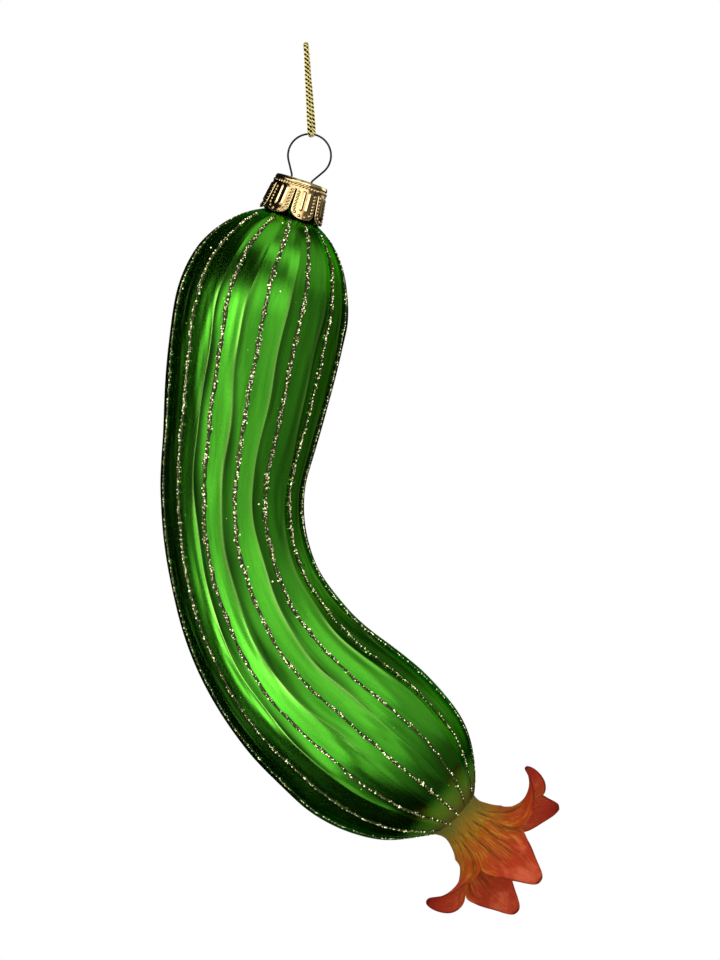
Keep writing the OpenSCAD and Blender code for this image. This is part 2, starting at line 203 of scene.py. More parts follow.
class Paint:
    """Builder of one node tree."""

    def __init__(self, tree: bpy.types.NodeTree) -> None:
        """Empty the tree."""
        self.tree = tree
        tree.nodes.clear()

    @staticmethod
    def _socket(sockets: Any, key: str | int) -> bpy.types.NodeSocket:
        """A socket by its number, its identifier or its name."""
        if isinstance(key, int):
            return sockets[key]
        return next(s for s in sockets if key in (s.identifier, s.name))

    def node(self, kind: str, settings: dict[str, Any], sockets: Inputs, output: str | int = 0) -> Value:
        """Add a node.

        Args:
            kind: Type of the node.
            settings: Properties set first; "stops" are a colour ramp's places and colours.
            sockets: Values or links of the inputs.
            output: The output that is given back.

        Returns:
            The output's value.
        """
        made = self.tree.nodes.new(kind)
        for name, setting in settings.items():
            if name == "stops":
                elements = made.color_ramp.elements
                while len(elements) < len(setting):
                    elements.new(1.0)
                for element, (place, colour) in zip(elements, setting):
                    element.position = place
                    element.color = (*colour, 1.0)
            else:
                setattr(made, name, setting)
        for key, value in sockets.items():
            socket = self._socket(made.inputs, key)
            if isinstance(value, Value):
                self.tree.links.new(value.socket, socket)
            elif isinstance(value, tuple) and socket.type == "RGBA":
                socket.default_value = (*value, 1.0)
            else:
                socket.default_value = value
        return Value(self, self._socket(made.outputs, output) if made.outputs else None)

    def place(self) -> Value:
        """Object coordinates."""
        return self.node("ShaderNodeTexCoord", {}, {}, "Object")

    def attribute(self, name: str) -> Value:
        """A point value that the mesh carries."""
        return self.node("ShaderNodeAttribute", {"attribute_name": name}, {}, "Fac")

    def noise(self, vector: Value, scale: float, detail: float = 2.0) -> Value:
        """Cloudy noise about 0.5."""
        return self.node("ShaderNodeTexNoise", {}, {"Vector": vector, "Scale": scale, "Detail": detail})

    def vector(self, x: Input, y: Input) -> Value:
        """A flat vector from two values."""
        return self.node("ShaderNodeCombineXYZ", {}, {"X": x, "Y": y})

    def mix(self, share: Input, first: Input, second: Input) -> Value:
        """A colour between two others."""
        sockets = {"Factor_Float": share, "A_Color": first, "B_Color": second}
        return self.node("ShaderNodeMix", {"data_type": "RGBA"}, sockets, "Result_Color")

    def ramp(self, value: Value, stops: tuple[tuple[float, Colour], ...]) -> Value:
        """A colour read off a ramp."""
        return self.node("ShaderNodeValToRGB", {"stops": stops}, {"Fac": value}, "Color")

    def bump(self, height: Value, distance: float, strength: float = 1.0) -> Value:
        """A normal tilted by the slope of a height."""
        sockets = {"Height": height, "Distance": distance, "Strength": strength}
        return self.node("ShaderNodeBump", {}, sockets, "Normal")


# Finishes


@dataclass(frozen=True)
class Finish:
    """A finish, which paints a material of its own."""

    name: ClassVar[str]

    def inputs(self, paint: Paint) -> Inputs:
        """The shader's inputs, worked out in the material's node tree."""
        raise NotImplementedError

    def material(self) -> Material:
        """Make a material whose tree ends in a Principled shader with this finish's inputs.

        Returns:
            The material.
        """
        made = bpy.data.materials.new(self.name)
        made.use_nodes = True
        paint = Paint(made.node_tree)
        shader = paint.node("ShaderNodeBsdfPrincipled", {}, self.inputs(paint))
        paint.node("ShaderNodeOutputMaterial", {}, {"Surface": shader})
        return made


@dataclass(frozen=True)
class GreenLacquer(Finish):
    """Satin metallic green lacquer on glass, brown at the tail; painted shade in the grooves, beside the
    creases, towards the tail and on the neck, and a painted highlight along each crease.
    """

    name: ClassVar[str] = "satin_green_lacquer"
    green: Colour = (0.15, 0.80, 0.044)
    pale: Colour = (0.48, 0.97, 0.18)
    deep: Colour = (0.03, 0.40, 0.018)
    brown: Colour = tint(104, 98, 46)
    shaded: Colour = (0.012, 0.06, 0.006)
    grazing: Colour = (0.05, 0.22, 0.03)
    rough: float = 0.25
    crest_highlight_share: float = 0.8
    neck_shade_span: Span = (0.2, 1.6)
    tail_shade_span: Span = (118.0, 133.0)
    tail_shade_share: float = 0.42
    tail_span: Span = (132.5, 139.0)
    tail_ragged: float = 5.0
    tail_dull: float = 0.55
    tail_rough: float = 0.12
    groove_shade_share: float = 0.5
    groove_shade_power: float = 3.0
    streak_share: float = 0.8
    streak_middle: float = 0.58
    streak_grid: Span = (3.0, 0.05)
    streak_scale: float = 2.0
    streak_rough: float = 0.1
    brush_share: float = 0.7
    brush_grid: Span = (11.0, 0.09)
    brush_bend: float = 2.0
    cloud_share: float = 0.3
    cloud_scale: float = 70.0
    band_least: float = 0.75
    shade_band_clouds: float = 0.4
    grain_scale: float = 1500.0
    grain_h: float = 0.00002
    grain_strength: float = 0.4
    grain_rough: float = 0.06

    def inputs(self, paint: Paint) -> Inputs:
        """Lengthwise streaks and clouds on the green, a painted highlight as a pale line on each crease and
        a band of painted shade beside it.

        The mesh carries "rib", "along", "hollow", "crest" and "beside". The green is darker by the cube
        of the hollow, as painted shade in the grooves, and by the swings of the streaks, the brush marks and
        the clouds. Painted shade also darkens the green towards the tail and on the neck under the cap.

        Args:
            paint: The material's node tree.

        Returns:
            The shader's inputs.
        """
        along = paint.attribute("along")
        rib = paint.attribute("rib")
        across, down = self.streak_grid
        streaks = paint.noise(paint.vector(rib * across, along * down), self.streak_scale, detail=3.0)
        across, down = self.brush_grid
        bent = along * down + streaks * self.brush_bend
        brushed = paint.noise(paint.vector(rib * across, bent), self.streak_scale)
        clouds = paint.noise(paint.place(), self.cloud_scale)
        grain = paint.noise(paint.place(), self.grain_scale)
        # Painted shade in the grooves, by the cube of the hollow, and tone that differs at random by the
        # streaks, brush marks and clouds.
        shade_and_tone = (
            (paint.attribute("hollow") ** self.groove_shade_power) * self.groove_shade_share
            + (self.streak_middle - streaks) * self.streak_share
            + brushed.swing(-self.brush_share) + clouds.swing(-self.cloud_share)
        )
        tail = (along + clouds.swing(self.tail_ragged)).over(*self.tail_span)
        colour = paint.mix(tail, paint.mix(shade_and_tone.over(0.0, 1.0), self.green, self.deep), self.brown)
        # Painted highlight: a pale line along each crease.
        colour = paint.mix(paint.attribute("crest") * self.crest_highlight_share * (1.0 - tail), colour, self.pale)
        # Painted shade: a darker share towards the tail and a band beside each crease, mixed to the shaded
        # green.
        tail_shade = along.over(*self.tail_shade_span) * self.tail_shade_share
        beside = paint.attribute("beside") * (self.band_least + clouds * self.shade_band_clouds)
        bands = (beside + tail_shade) * (1.0 - tail)
        colour = paint.mix(bands.over(0.0, 1.0), colour, self.shaded)
        rough = self.rough + streaks.swing(self.streak_rough) + grain.swing(self.grain_rough)
        # Base colour: painted shade on the neck, under the cap.
        return {
            "Base Color": paint.mix(along.over(*self.neck_shade_span), self.shaded, colour),
            "Metallic": 1.0 - tail * self.tail_dull,
            "Roughness": rough + tail * self.tail_rough,
            "Normal": paint.bump(grain, self.grain_h, self.grain_strength),
            "Specular Tint": self.grazing,
        }


@dataclass(frozen=True)
class GlitterFlakes(Finish):
    """Pale gold glitter grains, each of its own tone; the palest carry a painted glint that glows."""

    name: ClassVar[str] = "gold_glitter_grains"
    dark: Colour = (0.015, 0.035, 0.005)
    gold: Colour = (0.46, 0.44, 0.09)
    pale: Colour = (1.0, 0.97, 0.6)
    painted_glint: Colour = (0.95, 0.9, 0.55)
    gold_span: Span = (0.32, 0.42)
    pale_span: Span = (0.55, 0.66)
    painted_glint_span: Span = (0.68, 0.78)
    metal: float = 0.3
    metal_loss: float = 0.25
    rough: float = 0.2
    rough_more: float = 0.15

    def inputs(self, paint: Paint) -> Inputs:
        """Colour by the grains' "tone": some dark, some gold, many pale, the palest with a painted glint
        that they give off themselves.

        Args:
            paint: The material's node tree.

        Returns:
            The shader's inputs.
        """
        tone = paint.attribute("tone")
        gold = paint.mix(tone.over(*self.gold_span), self.dark, self.gold)
        return {
            "Base Color": paint.mix(tone.over(*self.pale_span), gold, self.pale),
            "Metallic": self.metal - tone * self.metal_loss,
            "Roughness": self.rough + tone * self.rough_more,
            # Painted glint: the palest grains give off light of their own.
            "Emission Color": paint.mix(tone.over(*self.painted_glint_span), BLACK, self.painted_glint),
            "Emission Strength": 1.0,
        }


@dataclass(frozen=True)
class GlitterGlue(Finish):
    """The dried line of tinted glue under the glitter."""

    name: ClassVar[str] = "olive_glitter_glue"
    dark: Colour = tint(16, 36, 8)
    light: Colour = tint(78, 88, 26)
    light_span: Span = (0.35, 0.7)
    metal_span: Span = (0.45, 0.6)
    metal_share: float = 0.5
    rough: float = 0.55
    rough_swing: float = 0.3
    grain_scale: float = 2600.0
    grain_h: float = 0.0001

    def inputs(self, paint: Paint) -> Inputs:
        """Dark olive with grains of lighter colour and a lumpy surface.

        Args:
            paint: The material's node tree.

        Returns:
            The shader's inputs.
        """
        grains = paint.noise(paint.place(), self.grain_scale)
        return {
            "Base Color": paint.mix(grains.over(*self.light_span), self.dark, self.light),
            "Roughness": self.rough - grains.swing(self.rough_swing),
            "Metallic": grains.over(*self.metal_span) * self.metal_share,
            "Normal": paint.bump(grains, self.grain_h),
        }


@dataclass(frozen=True)
class StampedGold(Finish):
    """Bright gold-coloured metal, browner in the hollows of the stamping."""

    name: ClassVar[str] = "stamped_gold"
    gold: Colour = (1.0, 0.75, 0.36)
    brown: Colour = (0.30, 0.12, 0.025)
    rough: float = 0.1
    ground_rough: float = 0.1
    worn_span: Span = (-0.42, 0.4)
    stain_scale: float = 900.0
    stain_share: float = 0.6
    stain_rough: float = 0.06
    stain_h: float = 0.00002
    stain_strength: float = 0.3

    def inputs(self, paint: Paint) -> Inputs:
        """Gold on the raised work; the mesh carries "relief", 0 in the ground and 1 on the tops.

        Args:
            paint: The material's node tree.

        Returns:
            The shader's inputs.
        """
        stains = paint.noise(paint.place(), self.stain_scale, detail=3.0)
        worn = (paint.attribute("relief") + stains.swing(self.stain_share)).over(*self.worn_span)
        return {
            "Base Color": paint.mix(worn, self.brown, self.gold),
            "Metallic": 1.0,
            "Roughness": self.rough + (1.0 - worn) * self.ground_rough + stains.swing(self.stain_rough),
            "Normal": paint.bump(stains, self.stain_h, self.stain_strength),
        }


@dataclass(frozen=True)
class SpringSteel(Finish):
    """Grey drawn steel wire with fine scratches along it."""

    name: ClassVar[str] = "drawn_spring_steel"
    steel: Colour = (0.12, 0.115, 0.12)
    dark: Colour = (0.035, 0.033, 0.036)
    rough: float = 0.24
    mark_grid: Span = (6.0, 0.25)
    mark_scale: float = 3.0
    mark_span: Span = (0.3, 0.75)
    mark_rough: float = 0.16
    mark_h: float = 0.00001

    def inputs(self, paint: Paint) -> Inputs:
        """Drawing marks from noise stretched along the wire; the mesh carries "along" and "round".

        Args:
            paint: The material's node tree.

        Returns:
            The shader's inputs.
        """
        across, down = self.mark_grid
        stretched = paint.vector(paint.attribute("round") * across, paint.attribute("along") * down)
        marks = paint.noise(stretched, self.mark_scale, detail=3.0)
        return {
            "Base Color": paint.mix(marks.over(*self.mark_span), self.dark, self.steel),
            "Metallic": 1.0,
            "Roughness": self.rough + marks * self.mark_rough,
            "Normal": paint.bump(marks, self.mark_h),
        }


@dataclass(frozen=True)
class BraidedGold(Finish):
    """Gold lurex braid: bright metal film strands, with painted shade in the gaps and painted highlights as
    pale sparks on the strands' tops.
    """

    name: ClassVar[str] = "braided_gold_film"
    gold: Colour = tint(226, 202, 84)
    dark: Colour = tint(14, 10, 3)
    pale: Colour = tint(255, 252, 214)
    rough: float = 0.42
    gold_span: Span = (0.55, 0.72)
    pale_span: Span = (0.74, 0.9)
    metal_span: Span = (0.5, 0.8)
    metal: float = 0.1
    metal_more: float = 0.5
    laps_each: float = 2.2
    strand_step: float = 17.0
    lap_scale: float = 1.6
    lap_rise: float = 0.5
    lap_rough: float = 0.2
    lap_h: float = 0.00003

    def inputs(self, paint: Paint) -> Inputs:
        """Film laps on each strand.

        The mesh carries "along", the strand's "tone" and its "rise", which is painted light: low as painted
        shade on the core, on a strand's inner side and where it passes under, high as a painted highlight on
        its top where it crosses over.

        Args:
            paint: The material's node tree.

        Returns:
            The shader's inputs.
        """
        tone = paint.attribute("tone")
        along = paint.attribute("along") * self.laps_each + tone * self.strand_step
        laps = paint.noise(paint.vector(along, tone), self.lap_scale)
        # Painted light from the mesh, with the laps: dark as painted shade in the gaps, pale as a painted
        # highlight on the strands' tops.
        level = paint.attribute("rise") + laps.swing(self.lap_rise)
        colour = paint.mix(level.over(*self.gold_span), self.dark, self.gold)
        return {
            "Base Color": paint.mix(level.over(*self.pale_span), colour, self.pale),
            "Metallic": self.metal + (1.0 - level.over(*self.metal_span)) * self.metal_more,
            "Roughness": self.rough - laps * self.lap_rough,
            "Normal": paint.bump(laps, self.lap_h),
        }


@dataclass(frozen=True)
class PetalLacquer(Finish):
    """Translucent satin colour sprayed over the blossom, from olive at its foot to red at the tips."""

    name: ClassVar[str] = "satin_petal_lacquer"
    stops: tuple[tuple[float, Colour], ...] = (
        (0.00, tint(88, 100, 36)),
        (0.17, tint(104, 108, 36)),
        (0.30, tint(130, 108, 28)),
        (0.46, tint(152, 106, 20)),
        (0.58, tint(160, 92, 12)),
        (0.68, tint(164, 68, 12)),
        (0.80, tint(162, 46, 14)),
        (1.00, tint(176, 58, 26)),
    )
    blush: Colour = tint(204, 96, 58)
    margin: Colour = tint(92, 14, 6)
    red: Colour = tint(136, 18, 4)
    crest_highlight: Colour = tint(216, 164, 62)
    dip_shade: Colour = tint(92, 44, 8)
    rough: float = 0.44
    gloss: float = 0.12
    glow: float = 0.12
    glow_depth: Colour = (1.0, 0.4, 0.2)
    foot: float = 0.4
    tips: float = 2.0
    blush_span: Span = (1.15, 1.6)
    blush_share: float = 0.7
    ripe_share: float = 0.75
    ripe_ragged: float = 0.6
    mouth_spans: tuple[Span, Span] = ((0.15, 0.7), (1.25, 1.75))
    margin_span: Span = (0.84, 1.0)
    margin_ragged: float = 0.16
    margin_share: float = 0.75
    dip_span: Span = (0.02, 0.3)
    dip_shade_share: float = 0.6
    crest_span: Span = (0.4, 0.8)
    stroke_grid: Span = (11.0, 0.9)
    stroke_scale: float = 2.4
    stroke_span: Span = (0.52, 0.68)
    stroke_highlight_share: float = 0.45
    stroke_shift: float = 0.2
    stroke_lift: float = 0.7
    vein_grid: Span = (34.0, 2.4)
    vein_bend: float = 3.0
    vein_scale: float = 1.6
    vein_span: Span = (0.04, 0.14)
    vein_highlight_share: float = 0.32
    vein_lift: float = 0.5
    vein_dip_span: Span = (0.0, 0.14)
    vein_shade_share: float = 0.3
    cloud_scale: float = 240.0
    cloud_span: Span = (0.48, 0.7)
    cloud_shift: float = 0.34
    cloud_rough: float = 0.2
    grain_scale: float = 1600.0
    grain_lift: float = 0.2
    fold_h: float = 0.00026
    fold_strength: float = 0.9

    def inputs(self, paint: Paint) -> Inputs:
        """A ramp of colours along the petals, under clouds, strokes, veins and a dark margin, with painted
        highlights on the strokes along the folds' crests and on the veins' crests, and painted shade in the
        dips of the folds and veins.

        The mesh carries "reach", below 0 at the foot, 1 at the mouth and 2 at the tips, "edge", 0 in a
        petal's middle and 1 at its margin, "turn" round the blossom, the height of the "fold" about
        0.5, and "ripe", how far a petal has turned red.

        Args:
            paint: The material's node tree.

        Returns:
            The shader's inputs.
        """
        reach, turn, fold, ripe = (paint.attribute(name) for name in ("reach", "turn", "fold", "ripe"))
        clouds = paint.noise(paint.place(), self.cloud_scale, detail=3.0)
        grain = paint.noise(paint.place(), self.grain_scale)
        across, down = self.stroke_grid
        strokes = paint.noise(paint.vector(turn * across, reach * down), self.stroke_scale, detail=4.0)
        across, down = self.vein_grid
        bent = turn * across + strokes * self.vein_bend
        veins = paint.noise(paint.vector(bent, reach * down), self.vein_scale)
        height = (reach + self.foot) * (1.0 / (self.tips + self.foot))
        mouth = reach.over(*self.mouth_spans[0]) * (1.0 - reach.over(*self.mouth_spans[1]))
        blushing = clouds.over(*self.cloud_span) * reach.over(*self.blush_span) * (1.0 - ripe)
        reddened = (ripe * self.ripe_share + clouds.swing(self.ripe_ragged)).over(0.0, 1.0) * ripe
        highlit_strokes = strokes.over(*self.stroke_span) * fold.over(*self.crest_span) * mouth
        edged = (paint.attribute("edge") + clouds.swing(self.margin_ragged)).over(*self.margin_span)
        # Painted highlights on the fold and vein crests and painted shade in their dips, among the blush,
        # the ripe red and the dark margin.
        layers = (
            (blushing * self.blush_share, self.blush),
            (reddened, self.red),
            ((0.5 - veins).over(*self.vein_dip_span) * self.vein_shade_share, self.dip_shade),
            ((0.5 - fold).over(*self.dip_span) * mouth * self.dip_shade_share, self.dip_shade),
            (highlit_strokes * self.stroke_highlight_share, self.crest_highlight),
            ((veins - 0.5).over(*self.vein_span) * mouth * self.vein_highlight_share, self.crest_highlight),
            (edged * self.margin_share, self.margin),
        )
        shifted = height + clouds.swing(self.cloud_shift) + strokes.swing(self.stroke_shift)
        colour = paint.ramp(shifted, self.stops)
        for share, tone in layers:
            colour = paint.mix(share, colour, tone)
        folded = strokes * self.stroke_lift + veins * self.vein_lift + grain * self.grain_lift
        return {
            "Base Color": colour,
            "Roughness": self.rough + clouds.swing(self.cloud_rough),
            "Normal": paint.bump(folded, self.fold_h, self.fold_strength),
            "Specular IOR Level": self.gloss,
            "Subsurface Weight": self.glow,
            "Subsurface Radius": self.glow_depth,
            "Subsurface Scale": MM,
        }


@dataclass(frozen=True)
class SetGlue(Finish):
    """Set clear glue over the lacquered tail: amber, with small bubbles."""

    name: ClassVar[str] = "set_clear_glue"
    amber: Colour = tint(176, 140, 70)
    dark: Colour = tint(98, 88, 40)
    rough: float = 0.16
    cloud_scale: float = 500.0
    cloud_span: Span = (0.3, 0.7)
    cloud_rough: float = 0.2
    bubble_scale: float = 1800.0
    bubble_span: Span = (0.0, 0.3)
    bubble_h: float = 0.00006

    def inputs(self, paint: Paint) -> Inputs:
        """Clouds of amber and pin bubbles under a wet gloss.

        Args:
            paint: The material's node tree.

        Returns:
            The shader's inputs.
        """
        clouds = paint.noise(paint.place(), self.cloud_scale, detail=3.0)
        cells = {"Vector": paint.place(), "Scale": self.bubble_scale}
        bubbles = paint.node("ShaderNodeTexVoronoi", {}, cells, "Distance")
        return {
            "Base Color": paint.mix(clouds.over(*self.cloud_span), self.dark, self.amber),
            "Roughness": self.rough + clouds * self.cloud_rough,
            "Normal": paint.bump(bubbles.over(*self.bubble_span) + clouds, self.bubble_h),
        }


@dataclass(frozen=True)
class PaleFloor(Finish):
    """A plain pale floor with a faint mottle."""

    name: ClassVar[str] = "pale_floor_paint"
    pale: Colour = (0.86, 0.86, 0.85)
    shade: Colour = (0.80, 0.80, 0.79)
    rough: float = 0.85
    mottle_scale: float = 6.0
    mottle_rough: float = 0.1

    def inputs(self, paint: Paint) -> Inputs:
        """Matt paint that passes into white light where the mesh's "far" is 1.

        Args:
            paint: The material's node tree.

        Returns:
            The shader's inputs.
        """
        mottle = paint.noise(paint.place(), self.mottle_scale, detail=3.0)
        far = paint.attribute("far")
        return {
            "Base Color": paint.mix(far, paint.mix(mottle, self.pale, self.shade), BLACK),
            "Roughness": self.rough + mottle * self.mottle_rough,
            "Specular IOR Level": 0.0,
            "Emission Color": paint.mix(far, BLACK, WHITE),
            "Emission Strength": 1.0,
        }


@dataclass(frozen=True)
class CardGlow(Finish):
    """The light of the reflection cards."""

    name: ClassVar[str] = "card_glow"
    brightest: float = 4.0

    def inputs(self, paint: Paint) -> Inputs:
        """Light by the mesh's "level", a share of the brightest, on a black ground.

        Args:
            paint: The material's node tree.

        Returns:
            The shader's inputs.
        """
        return {
            "Base Color": BLACK,
            "Roughness": 1.0,
            "Specular IOR Level": 0.0,
            "Emission Color": paint.mix(paint.attribute("level"), BLACK, WHITE),
            "Emission Strength": self.brightest,
        }


# Surfaces


class Sheetwork:
    """Grids of points gathered into one mesh."""

    def __init__(self) -> None:
        """Start with nothing."""
        self.points: list[Array] = []
        self.faces: dict[int, list[Array]] = {4: [], 3: []}
        self.values: dict[str, list[Array]] = {}
        self.count = 0

    def add(self, points: Array, **values: Input) -> Array:
        """Add a grid of points.

        Args:
            points: Points along the last axis, in millimetres.
            values: Point values, spread to the grid's shape.

        Returns:
            The points' numbers, in the grid's shape.
        """
        shape = points.shape[:-1]
        numbers = self.count + np.arange(math.prod(shape)).reshape(shape)
        self.count += numbers.size
        self.points.append(points.reshape(-1, 3))
        for name, value in values.items():
            self.values.setdefault(name, []).append(np.broadcast_to(value, shape).ravel())
        return numbers

    def skin(self, numbers: Array, wrap: bool = False, flip: bool = False) -> None:
        """Quads between the rows and columns of a grid.

        Args:
            numbers: The grid's point numbers; leading axes are separate grids.
            wrap: Join the last column to the first.
            flip: Turn the faces over.
        """
        left = numbers if wrap else numbers[..., :-1]
        right = np.roll(numbers, -1, axis=-1) if wrap else numbers[..., 1:]
        corners = [left[..., :-1, :], right[..., :-1, :], right[..., 1:, :], left[..., 1:, :]]
        quads = np.stack(corners, axis=-1).reshape(-1, 4)
        self.faces[4].append(quads[:, ::-1] if flip else quads)

    def fan(self, rings: Array, poles: Array, flip: bool = False) -> None:
        """Triangles from closed rings of points to their poles.

        Args:
            rings: Point numbers round each ring, along the last axis.
            poles: Point number of each ring's pole.
            flip: Turn the faces over.
        """
        ends = np.broadcast_to(poles[..., None], rings.shape)
        triangles = np.stack([rings, np.roll(rings, -1, axis=-1), ends], axis=-1).reshape(-1, 3)
        self.faces[3].append(triangles[:, ::-1] if flip else triangles)

    def hem(self, outer: Array, inner: Array, flip: bool = False) -> None:
        """Close the left, right and last edges between the two faces of some sheets.

        Args:
            outer: Point numbers of the outer faces, by sheet, row and column.
            inner: Point numbers of the inner faces.
            flip: Turn the faces over.
        """
        for column, turned in ((0, flip), (-1, not flip)):
            self.skin(np.stack([outer[:, :, column], inner[:, :, column]], axis=-1), flip=turned)
        self.skin(np.stack([outer[:, -1], inner[:, -1]], axis=1), flip=not flip)

    def piece(self, name: str, smooth: bool = True) -> Piece:
        """Put the grids into a mesh object at the origin.

        Args:
            name: Name of the piece.
            smooth: Shade the faces smoothly.

        Returns:
            The new object.
        """
        points = np.concatenate(self.points) * MM
        rows = {n: np.concatenate(f) if f else np.zeros((0, n), int) for n, f in self.faces.items()}
        corners = np.concatenate([rows[4].ravel(), rows[3].ravel()])
        starts = np.concatenate([np.arange(len(rows[4])) * 4, rows[4].size + np.arange(len(rows[3])) * 3])
        mesh = bpy.data.meshes.new(name)
        mesh.vertices.add(len(points))
        mesh.vertices.foreach_set("co", points.astype(np.float32).ravel())
        mesh.loops.add(len(corners))
        mesh.loops.foreach_set("vertex_index", corners.astype(np.int32))
        mesh.polygons.add(len(starts))
        mesh.polygons.foreach_set("loop_start", starts.astype(np.int32))
        mesh.polygons.foreach_set("use_smooth", np.full(len(starts), smooth))
        for label, parts in self.values.items():
            layer = mesh.attributes.new(label, "FLOAT", "POINT")
            layer.data.foreach_set("value", np.concatenate(parts).astype(np.float32))
        mesh.update(calc_edges=True)
        mesh.validate()
        made = bpy.data.objects.new(name, mesh)
        bpy.context.scene.collection.objects.link(made)
        return made


def settle(piece: Piece, body: Body, material: Material, node: str) -> Piece:
    """Dress a piece, put it on its body and let it stand for its solid.

    Args:
        piece: The piece.
        body: The body that it rides on.
        material: Its material.
        node: The solid that it replaces.

    Returns:
        The piece.
    """
    piece.data.materials.append(material)
    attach(piece, body.value)
    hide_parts(node)
    log.info("%s: %d faces, on %s", piece.name, len(piece.data.polygons), body.value)
    return piece


def swept(path: Array, closed: bool, ref: Array) -> tuple[Array, Array, Array]:
    """Directions along a path and two directions square to it at each point.

    The way is the step between the neighbours of a point; the first side is the reference direction
    less its share along the way; the second is square to both.

    Args:
        path: The path's points.
        closed: Whether the path runs round to its start.
        ref: Reference direction, one for all points or one each.

    Returns:
        The ways, the first sides and the second sides.
    """
    if closed:
        way = unit(np.roll(path, -1, axis=0) - np.roll(path, 1, axis=0))
    else:
        way = unit(np.gradient(path, axis=0))
    first = unit(ref - np.sum(ref * way, axis=-1, keepdims=True) * way)
    return way, first, np.cross(way, first)


def travelled(path: Array, closed: bool = False) -> Array:
    """Distance of each point of a path from its start; a closed path adds its whole length."""
    ends = np.vstack([path, path[:1]]) if closed else path
    return np.concatenate([[0.0], np.cumsum(np.linalg.norm(np.diff(ends, axis=0), axis=1))])


# The neck and what hangs on it


@dataclass
class Neck:
    """Places along the neck's axis, from the hanging point down."""

    hang_drop: float = 17.4
    hang_side: float = 0.7
    ring_r: float = 4.3
    ring_rise: float = 5.3
    ring_shift: float = 0.25
    tilt: float = math.radians(18.4)

    def __post_init__(self) -> None:
        """Work out the axes, the ring's centre and the middle of the cap's top."""
        self.up = np.array([math.sin(self.tilt), 0.0, math.cos(self.tilt)])
        self.right = np.array([math.cos(self.tilt), 0.0, -math.sin(self.tilt)])
        self.away = np.array([0.0, 1.0, 0.0])
        self.ring_centre = np.array([self.hang_side, 0.0, -self.hang_drop - self.ring_r])
        self.cap_top = self.ring_centre - self.ring_rise * self.up + self.ring_shift * self.right

    def point(self, x: Array, y: Array, z: Array) -> Array:
        """A point x to the right, y away and z up from the middle of the cap's top."""
        local = stacked(x, y, z)
        return self.cap_top + local @ np.stack([self.right, self.away, self.up])


